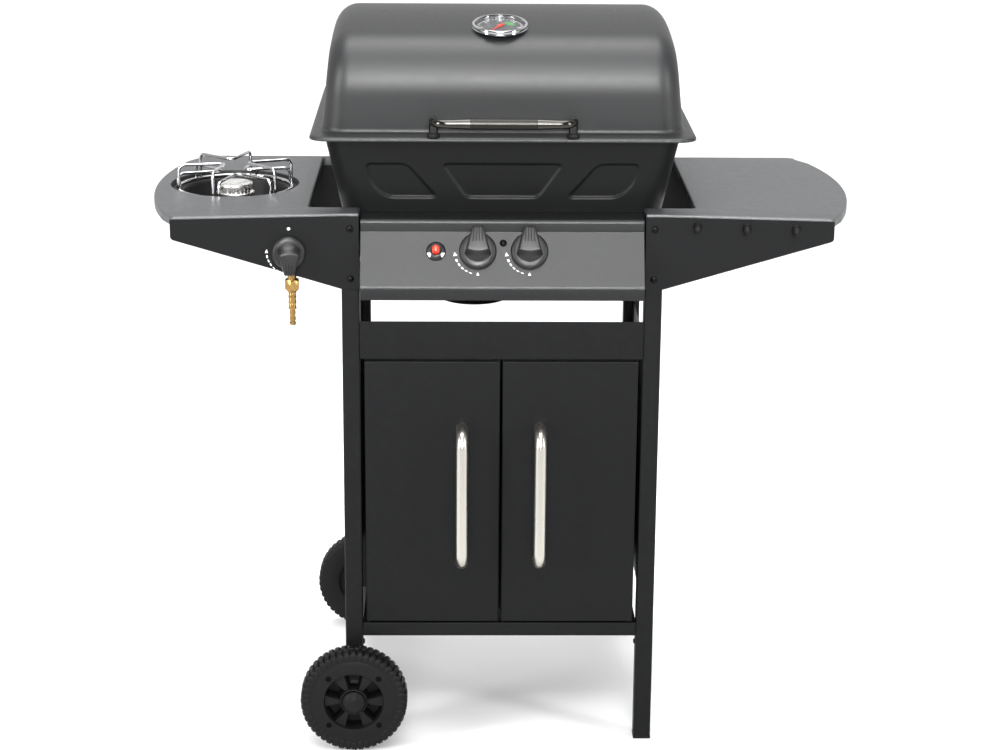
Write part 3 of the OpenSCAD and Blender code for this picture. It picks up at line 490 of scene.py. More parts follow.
def pan(bm, outline, depth, edge, matrix, holes=(), wall=SHEET):
    """A sheet-metal pan: flat face at local z 0, rolled edge, sides going down by depth.

    depth is one value, or a function of the place on the outline."""
    turn = [radians(90 * k / 5) for k in range(6)]
    inner_edge = max(edge - wall, 0.3)
    rings = [at_z(inset(outline, edge * (1 - sin(a))), -edge * (1 - cos(a)))
             for a in turn]
    drops = [depth(p) if callable(depth) else depth for p in outline]
    rings += [[(p[0], p[1], -d) for p, d in zip(loop, drops)]
              for loop in (outline, inset(outline, wall))]
    rings += [at_z(inset(outline, wall + inner_edge * (1 - sin(a))),
                   -wall - inner_edge * (1 - cos(a))) for a in reversed(turn)]
    rows = loft(bm, rings, matrix)
    lips = [loft(bm, [at_z(hole, 0), at_z(hole, -wall)], matrix) for hole in holes]
    fill(bm, rows[0], *(lip[0] for lip in lips))
    fill(bm, rows[-1], *(lip[1] for lip in lips))


def rect(x0, x1, y0, y1, r, n):
    return fillet([(x0, y0), (x1, y0), (x1, y1), (x0, y1)], r, n, closed=True)


def rounded_box(bm, low, high, r, n):
    """A block with its edges and corners rounded."""
    made = bmesh.ops.create_cube(bm, size=1.0)["verts"]
    for v in made:
        v.co = Vector(h if c > 0 else l for c, l, h in zip(v.co, low, high))
    edges = list({e for v in made for e in v.link_edges})
    bmesh.ops.bevel(bm, geom=edges, offset=r, segments=n, profile=0.5, affect="EDGES")


def slab(bm, outline, z0, z1, edge, matrix):
    """A flat plate of any outline with broken edges."""
    solid(bm, [at_z(inset(outline, edge), z0), at_z(outline, z0 + edge),
               at_z(outline, z1 - edge), at_z(inset(outline, edge), z1)], matrix)


def facing(at, out, up=(0, 0, 1)):
    """The matrix whose local z points out and local y points up from a place in mm."""
    z = Vector(out).normalized()
    y = (Vector(up) - z * Vector(up).dot(z)).normalized()
    x = y.cross(z)
    return Matrix.Translation(Vector(at)) @ Matrix((x, y, z)).transposed().to_4x4()


def move(x, y, z):
    return Matrix.Translation((x, y, z))


def turn_z(degrees):
    return Matrix.Rotation(radians(degrees), 4, "Z")


def lerp(a, b, t):
    return a + (b - a) * t


def smooth_step(t):
    t = min(max(t, 0.0), 1.0)
    return t * t * (3 - 2 * t)


def mirror_x(bm):
    """Adds the mirror image across the YZ plane."""
    made = bmesh.ops.duplicate(bm, geom=everything(bm))["geom"]
    for v in made:
        if isinstance(v, bmesh.types.BMVert):
            v.co.x = -v.co.x


# ---- cart ----


TUBE_R, TUBE_WALL = 3.2, 1.5
LEG_BOLT_Z = 150
# columns, lugs and spokes round a wheel, and its inner face's distance from the middle
COLUMNS, LUGS, SPOKES, WHEEL_Y = 336, 48, 6, 217
WHEEL_WIDTH = 34.0


def square_tube(bm, low, high):
    outer, inner = (rect(low.x + t, high.x - t, low.y + t, high.y - t, TUBE_R - t, 5)
                    for t in (0, TUBE_WALL))
    loft(bm, [at_z(outer, low.z), at_z(outer, high.z), at_z(inner, high.z),
              at_z(inner, low.z)], loop=True)


def bolt_head(bm, matrix, r=5.0, h=3.2):
    """A pan head with a cross recess."""
    n = 48
    crown = [radians(a) for a in (90, 75, 60, 45, 30)]
    rings = [circle(r, n)] + [circle(r * sin(a), n, h * cos(a)) for a in crown]
    for share, level, sink in ((0.42, 0.90, 0), (0.36, 0.93, 0.45), (0.12, 0.95, 0.45)):
        reach = 0.93 * share * r    # a point further out than this along x or y is in the cross
        rings.append([(x, y, z - (sink * h if max(abs(x), abs(y)) > reach else 0))
                      for x, y, z in circle(share * r, n, level * h)])
    rings.append(circle(0.01, n, 0.5 * h))
    loft(bm, rings, matrix)


def make_legs():
    plugs, bolts = bmesh.new(), bmesh.new()
    for side, sx in (("left", -1), ("right", 1)):
        for end in ("front", "rear"):
            name = "leg_%s_%s" % (end, side)
            low, high = box_mm(name)
            bm = bmesh.new()
            square_tube(bm, low, high)
            piece(name + "_tube", bm, COAT, name)
            flange = 3 if sx < 0 else 5
            rounded_box(plugs, (low.x - 0.2, low.y - 0.2, low.z - flange),
                        (high.x + 0.2, high.y + 0.2, low.z), 1.3, 3)
            rounded_box(plugs, (low.x + 1.6, low.y + 1.6, low.z - 0.5),
                        (high.x - 1.6, high.y - 1.6, low.z + 12), 0.8, 1)
    for end in ("front", "rear"):
        for side, sx in (("right", -1), ("left", 1)):
            low, high = box_mm("leg_%s_%s" % (end, side))
            at = (low.x if sx < 0 else high.x, (low.y + high.y) / 2, LEG_BOLT_Z)
            bolt_head(bolts, facing(at, (sx, 0, 0)), 4.5, 2.8)
    piece("leg_plugs_moulded", plugs, RUBBER, "leg_plugs")
    piece("leg_bolts", bolts, SCREW, slot="screw_black")


def make_wheel(name, side):
    """One wheel, drawn with its outer face up: tyre with lugs, notched face, ring and spokes."""
    low, high = box_mm(name)
    center, top = (low + high) / 2, (high.z - low.z) / 2

    def lug(theta, _, shift=0.0):
        t = (theta * LUGS / (2 * pi) + shift) % 1.0
        return smooth_step((0.5 - abs(t - 0.5) - 0.10) / 0.07)

    def lug_2(theta, _):
        """The second row of lugs, which stand between those of the first."""
        return lug(theta, 0, 0.5)

    def spoke(theta, r):
        t = (theta * SPOKES / (2 * pi)) % 1.0
        away = min(t, 1 - t) * 2 * pi / SPOKES * r
        half = 4.2 + (r - 19.8) * 0.26
        return smooth_step((half + 1.0 - away) / 2.6)

    def ring(r0, z0, r1=0.0, z1=0.0, share=None):
        """Points at (r0, z0), or as far towards (r1, z1) as share says for their place."""
        spots = []
        for i in range(COLUMNS):
            theta = 2 * pi * i / COLUMNS
            k = share(theta, r0) if share else 0
            r = r0 + (r1 - r0) * k
            spots.append((r * cos(theta), r * sin(theta), z0 + (z1 - z0) * k))
        return spots

    # top is the radius over the lugs, crown that between them and face the outer face's height
    crown, face = top - 2.6, WHEEL_WIDTH
    # (radius, height), or (radius and height in a groove, radius and height on a lug or spoke)
    rows = [(5.6, -4), (18, -4), (19.6, -2.5), (19.8, 7), (40, 8), (43, 6), (44, 1.2),
            (46, 0.4), (70, 0.4), (crown - 1, 1.6, top - 2, 1.4, lug),
            (crown, 3.2, top, 4.0, lug), (crown, 15.2, top, 15.2, lug),
            (crown - 0.6, 16.2), (crown - 0.6, 17.8), (crown, 18.8, top, 18.8, lug_2),
            (crown - 0.2, 29.5, top - 0.2, 29.5, lug_2),
            (crown - 1.6, 31.6, top - 1.8, 31.8, lug_2),
            (top - 4.2, face - 1.1, top - 4.2, face - 0.2, lug_2),
            (top - 9, face - 1.1, top - 9, face, lug_2),
            (top - 13.6, face - 1.0, top - 13.6, face - 0.1, lug_2),
            (top - 14.6, face - 0.9), (top - 15.6, face - 0.5),
            (top - 16.6, face - 0.1), (46.5, face), (44.6, face + 0.2),
            (43.2, face - 0.2), (42.5, face - 1.4), (42.0, face - 3.2)]
    rows += [(r, dark, r, face - lit, spoke)
             for r, dark, lit in ((41.4, 14, 4.4), (39, 11, 4.6), (34, 10.5, 3.6),
                                  (28, 10.5, 2.8), (23.5, 11, 2.8), (20.6, 13, 3.2))]
    rows += [(r, face - z) for r, z in ((20.0, 2.6), (19.4, 0.6), (18.2, 0.2), (17.2, 0.8),
                                        (17.0, 3.4), (5.6, 3.4))]
    bm = bmesh.new()
    place = facing((center.x, side * WHEEL_Y, center.z), (0, side, 0))
    loft(bm, [ring(*row) for row in rows], place, loop=True)
    piece(name + "_tyre", bm, RUBBER, name, 42)
    # dark discs with a thin lip: painted shade standing in for the insides of the holes in the
    # outer face
    bm = bmesh.new()
    for i in range(4):
        a = radians(45 + 90 * i)
        rim = place @ move(51 * cos(a), 51 * sin(a), face)
        lathe(bm, [(0, 0.05), (3.0, 0.05), (3.2, 0.5), (3.9, 0.55), (4.3, -0.2), (0, -0.2)],
              20, rim)
    piece(name + "_holes", bm, DARK, body=body_of_node(name), slot="black_plastic")


AXLE_CAP_Y = 251


def make_running_gear():
    for name, side in (("wheel_front", -1), ("wheel_rear", 1)):
        make_wheel(name, side)
    refined("axle", PLAIN, 0.5, 2)
    low, high = box_mm("axle_caps")
    bm = bmesh.new()
    x, z = (low.x + high.x) / 2, (low.z + high.z) / 2
    dome = arc((0, -12.7), 21.7, 44, 90, 10)
    for side in (-1, 1):
        place = facing((x, side * AXLE_CAP_Y, z), (0, side, 0))
        lathe(bm, [(5.2, -3), (16, -3), (16.3, -2), (16.3, 1.4), *dome[:-1], (0.0, 9.0)],
              64, place)
        lathe(bm, [(0, -3), (5.2, -3), (5.2, -2.9), (0, -2.9)], 24, place)
    piece("axle_caps_domed", bm, RUBBER, "axle_caps")


def make_cabinet():
    low, high = box_mm("bottom_shelf")
    bm = bmesh.new()
    pan(bm, rect(low.x, high.x, low.y, high.y, 0.8, 2), high.z - low.z, 1.6,
        move(0, 0, high.z))
    piece("bottom_shelf_pan", bm, COAT, "bottom_shelf")

    low, high = box_mm("fascia")
    path = [(low.y, high.z), (low.y, low.z), (low.y + 25, low.z)]
    folded("fascia_folded", path, [0, 2.2, 0], high.x - low.x, COAT, "fascia")

    low, high = box_mm("back_panel")
    path = [(low.y, high.z), (high.y, high.z), (high.y, low.z), (low.y + 2, low.z)]
    folded("back_panel_folded", path, [0, 2.2, 2.2, 0], high.x - low.x, COAT, "back_panel", 1)
    for name in ("side_panels", "support_rails", "hinge_brackets"):
        refined(name, COAT, 0.3)
    refined("door_catch", RUBBER, 0.8, 2)
    refined("hinge_pins", SCREW, 0.4)


def folded(name, path, radii, width, material, node, inner=-1, ends=()):
    """Sheet bent along a (Y, Z) path and extruded along X, its metal on one side of the path."""
    line = fillet(path, radii, 6)
    section = line + inset(line, -SHEET * inner, closed=False)[::-1]
    bm = bmesh.new()
    x0, x1 = -width / 2, width / 2
    solid(bm, [[(x, *p) for p in section] for x in (x0, x1)])
    if ends:
        for x in (x0, x1 - SHEET):
            solid(bm, [[(x + dx, *p) for p in ends] for dx in (0, SHEET)])
    piece(name, bm, material, node)


HANDLE_BEND = 20


def make_doors():
    for name in ("left", "right"):
        low, high = box_mm("door_" + name)
        width, height = high.x - low.x, high.z - low.z
        place = facing(((low.x + high.x) / 2, low.y, (low.z + high.z) / 2), (0, -1, 0))
        bm = bmesh.new()
        pan(bm, rect(-width / 2, width / 2, -height / 2, height / 2, 1.2, 3), high.y - low.y,
            1.7, place)
        piece("door_%s_pan" % name, bm, COAT, "door_" + name)
        low, high = box_mm("door_handle_" + name)
        r = (high.x - low.x) / 2
        x, y = (low.x + high.x) / 2, low.y + r
        path = fillet([(x, high.y, low.z + r), (x, y, low.z + r), (x, y, high.z - r),
                       (x, high.y, high.z - r)], HANDLE_BEND, 12)
        bm = bmesh.new()
        sweep(bm, path, r, 28)
        piece("door_handle_%s_bar" % name, bm, SATIN, "door_handle_" + name)


# ---- side shelves ----

LEG_IN, LEG_OUT, NOTCH_X, NOTCH_Y = 197.5, 222.5, 268.0, 172.0
APRON_Y, SHELF_BULGE, BURNER_HOLE_R = -211.2, 41.0, 92.5
PEG_X, SCREW_Z = (268, 335, 402), (696, 767)
PANEL_SCREW = (1, 15.5)     # x, and the distance down the panel's slope
CORNER = Vector((box_mm("shelf_top_right")[1].x - SHELF_BULGE, box_mm("shelf_top_right")[0].y))
APRON_TURN = atan2(APRON_Y - CORNER.y, CORNER.x - LEG_OUT)


def apron_y(x):
    """The front apron's face: flat on the leg, then turned out towards the corner."""
    return APRON_Y - max(0.0, abs(x) - LEG_OUT) * tan(APRON_TURN)


def on_apron(x, z):
    """Local z out of the front apron, local y up."""
    turn = APRON_TURN if abs(x) > LEG_OUT else 0.0
    return facing((x, apron_y(x), z), (-copysign(sin(turn), x), -cos(turn), 0))


def shelf_outline():
    """The right shelf seen from above: flared front, a bowed end, a notch for the firebox."""
    low, high = box_mm("shelf_top_right")
    half, mid = (high.y - low.y) / 2, (high.y + low.y) / 2
    r = (half ** 2 + SHELF_BULGE ** 2) / (2 * SHELF_BULGE)
    sweep_deg = degrees(asin(half / r))
    bow = arc((high.x - r, mid), r, -sweep_deg, sweep_deg, 28)
    inner = [(LEG_IN, high.y), (LEG_IN, NOTCH_Y), (NOTCH_X, NOTCH_Y), (NOTCH_X, -NOTCH_Y),
             (LEG_IN, -NOTCH_Y), (LEG_IN, APRON_Y), (LEG_OUT, APRON_Y)]
    corners = inner + [bow[0], bow[-1]]
    radii = [2, 1.2, 5, 5, 1.2, 2, 30, 7, 16]
    loop = fillet(corners, radii, 6, closed=True)
    # the straight line between the two bowed corners gives way to the bow itself
    return loop[:-7] + [Vector(p) for p in bow[2:-3]] + loop[-7:]


def shelf_skirt(p):
    """Depth of the rolled edge: only a lip above the apron, a full skirt elsewhere."""
    return 4.2 if p[1] < apron_y(p[0]) + 1.0 and abs(p[0]) < CORNER.x - 0.5 else 12.0


def apron_mesh(bm, top):
    """The right front apron: a plate with its lower and outer edges folded in."""
    corners = ((LEG_IN, 681), (220, 681), (453.6, 757), (453.6, top), (LEG_IN, top))
    outline = fillet(corners, [1, 3, 6, 0.5, 1], 4, closed=True)
    upright = Matrix.Rotation(radians(90), 4, "X")
    place = move(0, APRON_Y + SHEET, 0) @ upright
    slab(bm, outline, 0, SHEET, 0.3, place)
    edge = [Vector((LEG_OUT + 1, 0, 681.9)), Vector((447.5, 0, 755.2)),
            Vector((452.4, 0, 761)), Vector((452.6, 0, top - 6))]
    for a, b in zip(edge, edge[1:]):
        up = Vector((-(b.z - a.z), 0, b.x - a.x)).normalized()
        flange = ((0, 0), (0, 11), (1.2, 11), (1.2, 0))
        loft(bm, [[p + up * u + Vector((0, APRON_Y + 0.6 + w, 0)) for u, w in flange]
                  for p in (a, b)], caps=True)
    bmesh.ops.bisect_plane(bm, geom=everything(bm),
                           plane_co=(LEG_OUT, 0, 0), plane_no=(1, 0, 0), dist=0.001)
    for v in bm.verts:
        v.co.y += apron_y(v.co.x) - APRON_Y


def make_shelves():
    top = box_mm("shelf_top_right")[1].z
    for side, name in ((-1, "left"), (1, "right")):
        outline = shelf_outline()
        holes = []
        if side < 0:
            outline = [Vector((-p.x, p.y)) for p in reversed(outline)]
            holes = [circle(BURNER_HOLE_R, 72, 0, burner_center())]
        bm = bmesh.new()
        pan(bm, outline, shelf_skirt, 3.0, move(0, 0, top), holes)
        piece("shelf_%s_pan" % name, bm, SHELF_LIT_COAT, "shelf_top_" + name, 28)
        bm = bmesh.new()
        apron_mesh(bm, top - 4.3)
        if side < 0:
            bmesh.ops.scale(bm, vec=(-1, 1, 1), verts=bm.verts)
        piece("apron_front_%s_plate" % name, bm, COAT, "apron_front_" + name)
    refined("aprons_rear", COAT, 0.3)

    low, high = box_mm("tool_pegs")
    bm = bmesh.new()
    for x in PEG_X:
        dome = arc((0, 18.5), 5.0, 0, 90, 8)
        lathe(bm, [(0, 0), (6.5, 0), (6.5, 1.4), (6.0, 2.2), (5.2, 3.2), (5.0, 4.5), *dome], 40,
              on_apron(x, (low.z + high.z) / 2))
    piece("tool_pegs_moulded", bm, RUBBER, "tool_pegs")

    bm = bmesh.new()
    for side in (-1, 1):
        for z in SCREW_Z:
            bolt_head(bm, on_apron(side * (LEG_IN + LEG_OUT) / 2, z))
    bolt_head(bm, on_panel(*PANEL_SCREW))
    piece("panel_screws_heads", bm, SCREW, "panel_screws")


# ---- control panel ----

SLOPE_TOP, SLOPE_LOW = Vector((-210, 763)), Vector((-244, 692))
PANEL_TILT = atan2(SLOPE_TOP.x - SLOPE_LOW.x, SLOPE_TOP.y - SLOPE_LOW.y)
PANEL_OUT = Vector((0, -cos(PANEL_TILT), sin(PANEL_TILT)))
PANEL_UP = Vector((0, sin(PANEL_TILT), cos(PANEL_TILT)))
KNOB_DROP, IGNITER_X = 27.5, -91.5
PANEL_WIDTH = 390.0
KNOB_LIFT = 4.0     # the gap between a knob's skirt and the panel
KNOB_X = {"left": -34.0, "right": 37.0}
SIDE_KNOB = (-294.0, 736.0)


def on_panel(x, drop):
    """Local z out of the sloping face, local y up it."""
    at = Vector((x, SLOPE_TOP.x, SLOPE_TOP.y)) - PANEL_UP * drop
    return facing(at, PANEL_OUT, PANEL_UP)


def make_panel():
    low, high = box_mm("control_panel")
    path = [(-172.5, high.z), (-210, high.z), tuple(SLOPE_TOP), tuple(SLOPE_LOW),
            (-244, low.z), (-230, low.z)]
    ends = [(-187, high.z - 1.5), (-203.5, high.z - 1.5), (-207.5, high.z - 3),
            (-209.6, high.z - 7), (-209.6, 763), (-243.6, 692),
            (-243.6, low.z + 0.4), (-187, low.z + 0.4)]
    folded("control_panel_folded", path, [0, 6.5, 1.5, 14, 2, 0], PANEL_WIDTH, PANEL_LIT_COAT,
           "control_panel", ends=ends)


def grip_outline(k, spread):
    """The bell-shaped grip's outline: spread 0 is its face, 1 its foot on the skirt."""
    low = Vector((lerp(15.4, 18.4, spread), lerp(-1.9, -5.1, spread)))
    tip = Vector((lerp(7.6, 8.5, spread), 30.5))
    radius = lerp(36.6, 20.0, spread)
    mid = low.y + sqrt(radius ** 2 - low.x ** 2)
    a0 = degrees(atan2(low.y - mid, -low.x))
    right = [tip.lerp(low, t) for t in (0.04, 0.3, 0.55, 0.78, 0.94)]
    foot = arc((0, mid), radius, a0 % 360, 540 - a0 % 360, 18)
    crest = [(x * tip.x / 7.6, tip.y - (0.55 if i % 2 else 0.0) - 0.010 * x * x)
             for i, x in enumerate((7.4, 5.55, 3.7, 1.85, 0, -1.85, -3.7, -5.55, -7.4))]
    loop = [(-p.x, p.y) for p in right] + foot + [(p.x, p.y) for p in reversed(right)] + crest
    return [Vector((x * k, y * k)) for x, y in loop]


def make_knob(name, place, k):
    """One knob, k times the size of those on the panel."""
    lift_up = place @ move(0, 0, KNOB_LIFT)
    bm = bmesh.new()
    skirt = [(0, 0), (24.8, 0), (25.6, 0.5), (25.8, 1.4), (25.5, 2.8), (24.4, 5.0), (22.8, 6.0),
             (20, 6.5), (17, 7.0), (0, 7.2)]
    lathe(bm, [(r * k, z) for r, z in skirt], 72, lift_up)
    flare = ((1.06, 5.4), (1.0, 6.6), (0.90, 8.0), (0.62, 12.5), (0.36, 16.5), (0.12, 20.2))
    rings = [at_z(grip_outline(k, spread), z) for spread, z in flare]
    for depth, z in ((0.15, 21.6), (0.6, 22.3), (1.4, 22.75), (2.4, 22.9)):
        rings.append(at_z(inset(grip_outline(k, 0.0), depth), z))
    solid(bm, rings, lift_up)
    for x in (-5.55, -1.85, 1.85, 5.55):
        ridge = [(x * k, 30.2 * k, 9), (x * k, 30.4 * k - abs(x) * 0.06, 20.6),
                 (x * k, 28.2 * k, 22.9), (x * k * 1.12, 15 * k, 23.0), (x * k * 1.2, 9 * k, 22.2)]
        sweep(bm, fillet(ridge, [0, 2, 1, 1, 0], 4), 1.15 * k, 8, matrix=lift_up)
    piece(name + "_moulded", bm, KNOB, name, 38)


def add_mark(bm, loop, place, h=0.12):
    """A printed mark, as a flat plate of thickness h on the surface."""
    solid(bm, [at_z(loop, 0.0), at_z(loop, h)], place)


def knob_marks(bm, place, radius, head, dashes, k, flame):
    """An arrow head at the left, dashes that thin out on the way down, a flame mark below."""
    turned = place @ turn_z(head)
    add_mark(bm, [(radius - 2.6 * k, 0.6), (radius + 2.6 * k, 0.6), (radius, -4.6 * k)], turned)
    for i, a0 in enumerate(dashes):
        width = (2.3 - 0.36 * i) * k
        outer = arc((0, 0), radius + width / 2, a0, a0 + 7.0, 3)
        inner = arc((0, 0), radius - width / 2, a0, a0 + 7.0, 3)
        add_mark(bm, outer + inner[::-1], place)
    if flame:
        add_mark(bm, [(-2.0, -radius - 1.6), (2.0, -radius - 1.6), (0, -radius + 2.6)], place)


def make_controls():
    panel_places = {side: on_panel(KNOB_X[side], KNOB_DROP) for side in ("left", "right")}
    for side, place in panel_places.items():
        make_knob("knob_" + side, place, 1.0)
    side_place = on_apron(*SIDE_KNOB)
    make_knob("knob_side", side_place @ turn_z(180), 0.9)
    bm = bmesh.new()
    for place in panel_places.values():
        knob_marks(bm, place, 31.6, 190, range(200, 251, 12), 1.0, True)
    knob_marks(bm, side_place, 30.0, 180, range(188, 237, 12), 0.9, False)
    add_mark(bm, arc((0.7, 32.5), 2.2, 0, 345, 16), side_place)
    piece("panel_marks", bm, WHITE)

    igniter = on_panel(IGNITER_X, KNOB_DROP)
    bm = bmesh.new()
    bezel = [(5.7, -20), (10.4, -20), (10.4, -0.5), (13.2, -0.5), (13.5, 0.2), (13.4, 1.2),
             (12.6, 2.6), (11, 3.9), (8.6, 4.9), (6.8, 5.2), (6.0, 4.8), (5.7, 4.2)]
    loft(bm, [circle(r, 56, z) for r, z in bezel], igniter, loop=True)
    piece("igniter_bezel", bm, KNOB, "igniter_housing")
    bm = bmesh.new()
    for a in (210, 330):
        wedge = arc((0, 0), 12.4, a - 17, a + 17, 6) + arc((0, 0), 8.4, a + 11, a - 11, 4)
        solid(bm, [[(x, y, 5.35 - 0.0115 * (x * x + y * y - 60) * 1.9 + dz) for x, y in wedge]
                   for dz in (-0.5, 0.0)], igniter)
    piece("igniter_marks", bm, WHITE)
    bm = bmesh.new()
    lathe(bm, [(0, -15), (5.5, -15), (5.5, 17.2), (5.2, 18.8), (4.5, 20.0), (3.2, 20.8),
               (1.6, 21.0), (0, 21.0)], 40, igniter)
    piece("igniter_button_cap", bm, RED, "igniter_button")

    for name, bevel in (("valve_stem_left", 0.4), ("valve_stem_right", 0.4),
                        ("valve_stem_side", 0.4), ("gas_manifold", 0.3),
                        ("side_gas_pipe", 0.3)):
        refined(name, PLAIN, bevel)
    refined("burner_valves", BRASS, 0.5, 2)
    refined("side_valve", BRASS, 0.6, 2)


HOSE_TAIL_AT = (-291.5, -195.0, 704.0)
NUT_R, NUT_ROUND_R = 11.0, 9.2      # across the nut's corners, and where its ends are chamfered


def make_hose_tail():
    """Neck, hex nut and stepped barbs of the gas inlet."""
    place = facing(HOSE_TAIL_AT, (0, 0, -1), (0, 1, 0))
    bm = bmesh.new()
    lathe(bm, [(0, 0), (6.4, 0), (6.4, 2), (5.8, 2.6), (6.4, 3.2), (6.4, 12.5), (0, 12.5)],
          32, place)

    def hexagon(z, cap=NUT_R):
        ring, sixth = [], pi / 3
        for i in range(72):
            a = 2 * pi * i / 72
            from_flat = (a + sixth / 2) % sixth - sixth / 2
            r = min(NUT_R * cos(sixth / 2) / cos(from_flat), cap)
            ring.append((r * cos(a), r * sin(a), z))
        return ring
    solid(bm, [hexagon(12, NUT_ROUND_R), hexagon(13.4), hexagon(25.6),
               hexagon(27, NUT_ROUND_R)], place)
    profile = [(0, 26), (7.8, 26), (7.8, 28.4), (6.2, 29.6), (6.2, 31)]
    for i in range(3):
        profile += [(4.7, 31.2 + 8 * i), (5.9, 37.6 + 8 * i), (5.7, 38.6 + 8 * i)]
    for i in range(2):
        profile += [(3.7, 55 + 8 * i), (4.6, 61.8 + 8 * i), (4.4, 62.6 + 8 * i)]
    profile += [(3.6, 71), (3.6, 73), (4.6, 74.2), (4.7, 76.2), (3.6, 78), (2.4, 78.3),
                (2.2, 70), (0, 70)]
    lathe(bm, profile, 40, place)
    piece("hose_tail_turned", bm, BRASS, "hose_tail")


# ---- side burner ----


def burner_center():
    low, high = box_mm("side_burner_cap")
    return Vector(((low.x + high.x) / 2, (low.y + high.y) / 2))


WIRE_R, WIRE_BEND, RING_R, RING_WIRE_R = 2.2, 8.0, 82, 2.6


def wire(bm, center, points):
    """A bent rod through points given about the burner's centre, its bends cut to the room."""
    pts = [Vector((center.x + p[0], center.y + p[1], p[2])) for p in points]
    radii = [0] * len(pts)
    for i in range(1, len(pts) - 1):
        u, v = pts[i - 1] - pts[i], pts[i + 1] - pts[i]
        room = 0.46 * min(u.length, v.length) * tan(u.angle(v) / 2)
        radii[i] = min(WIRE_BEND, room)
    sweep(bm, fillet(pts, radii, 6), WIRE_R, 12)


BURNER_TEETH = 24


def make_side_burner():
    c = burner_center()
    top = box_mm("shelf_top_left")[1].z
    ledge = top - 8
    place = move(c.x, c.y, 0)
    bm = bmesh.new()
    outer = [(99, top - 1.4), (92.3, top - 1.4), (91.4, top - 3), (90.4, ledge + 1), (89, ledge),
             (78, ledge), (76, ledge - 1.4), (74.5, ledge - 6), (70.5, 746), (68, 742.4),
             (16, 742)]
    under = [(16, 741), (69.5, 741.2), (72, 744), (76, ledge - 7), (77.6, ledge - 2),
             (89.5, ledge - 1.2), (91.8, ledge), (92.8, top - 3.4), (93.6, top - 2.6),
             (99, top - 2.6)]
    loft(bm, [circle(r, 96, z) for r, z in outer + under], place, loop=True)
    piece("side_burner_well", bm, BOWL, "side_burner_bowl", 40)

    # burner crown: flange, slotted band, polished cap
    bm = bmesh.new()
    lathe(bm, [(0, 715), (13.4, 715), (14, 715.6), (14, 742), (23.4, 742), (24, 742.8), (24, 759),
               (26.6, 773.6), (27.2, 774.4), (27.2, 776.6), (26.6, 777.2), (22, 777.4), (22, 785),
               (0, 785)], 96, place)
    tooth = ((-1.6, -1.9), (1.3, -1.9), (1.3, 1.9), (-1.6, 1.9))
    for i in range(BURNER_TEETH):
        turn = turn_z(360 * i / BURNER_TEETH)
        loft(bm, [at_z(tooth, z) for z in (777.2, 785.2)],
             place @ turn @ move(23.1, 0, 0), caps=True)
    piece("side_burner_crown", bm, BURNER, "side_burner_head")
    bm = bmesh.new()
    lathe(bm, [(0, 785), (24.6, 785), (25.5, 785.6), (25.6, 788.6), (25.0, 789.9), (23.4, 790.7),
               (20, 791.0), (18.6, 790.6), (17.4, 791.0), (12, 791.4), (0, 791.6)], 96, place)
    piece("side_burner_lid", bm, BURNER, "side_burner_cap")

    # wire pan support: base ring and bent rods, every other one lower
    high = box_mm("pan_support")[1].z - WIRE_R
    base = ledge + RING_WIRE_R
    bm = bmesh.new()
    sweep(bm, [(c.x + x, c.y + y, base) for x, y, _ in circle(RING_R, 96)], RING_WIRE_R, 14,
          closed=True)
    for i in range(6):
        a = radians(46 + 60 * i)
        level = high - (14 if i % 2 == 0 else 0)
        (x0, y0), (x1, y1) = [(RING_R * cos(a + b), RING_R * sin(a + b))
                              for b in (-radians(27), radians(27))]
        tip = (16 * cos(a), 16 * sin(a), level)
        wire(bm, c, [(x0, y0, base), (x0, y0, level), tip, (x1, y1, level), (x1, y1, base)])
    piece("pan_support_wires", bm, CHROME, "pan_support")


# ---- firebox ----

DRAFT = 40 / 188
WINDOW_Z = (803.0, 853.0)
WINDOWS = [[(-84, 853), (84, 853), (50, 803), (-50, 803)],
           [(-189, 853), (-131.6, 853), (-89.3, 803), (-160, 803), (-182, 822)],
           [(131.6, 853), (189, 853), (182, 822), (160, 803), (89.3, 803)]]
WINDOW_CORNER_R, PRESS = 7.0, 3.6
FRONT_STEPS, SIDE_STEPS = 210, 12


def edge_distance(p, loop):
    """Distance from p to a convex clockwise outline with rounded corners, negative inside."""
    worst, r, excess = -inf, WINDOW_CORNER_R, []
    for i, a in enumerate(loop):
        b = loop[(i + 1) % len(loop)]
        ex, ez = b[0] - a[0], b[1] - a[1]
        length = hypot(ex, ez)
        d = ((p[0] - a[0]) * -ez + (p[1] - a[1]) * ex) / length + r
        worst = max(worst, d)
        if d > 0:
            excess.append(d)
    if len(excess) > 1:
        return sqrt(sum(d * d for d in excess)) - r
    return worst - r


def pressed(x, z):
    """How far the front wall is pressed in at (x, z)."""
    if not WINDOW_Z[0] - 8 < z < WINDOW_Z[1] + 8:
        return 0.0
    near = min(edge_distance((x, z), w) for w in WINDOWS)
    return PRESS * smooth_step((1.6 - near) / 4.2)


def box_loop(hw, hd, r, z, front_n=FRONT_STEPS, side_n=SIDE_STEPS, press=False):
    """A rounded rectangle as a ring, counter-clockwise from the front left."""
    xs = [-hw + r + (2 * hw - 2 * r) * i / front_n for i in range(front_n + 1)]
    ys = [-hd + r + (2 * hd - 2 * r) * i / side_n for i in range(1, side_n + 1)]
    front = [(x, -hd + (pressed(x, z) if press else 0)) for x in xs]
    sides = (front, [(hw, y) for y in ys], [(-x, hd) for x in xs[1:]], [(-hw, -y) for y in ys])
    pts = []
    for k, (sx, sy) in enumerate(((1, -1), (1, 1), (-1, 1), (-1, -1))):
        bend = arc((sx * (hw - r), sy * (hd - r)), r, 90 * k - 90, 90 * k, 7)
        pts += sides[k] + bend[1:]
    return at_z(pts[:-1], z)


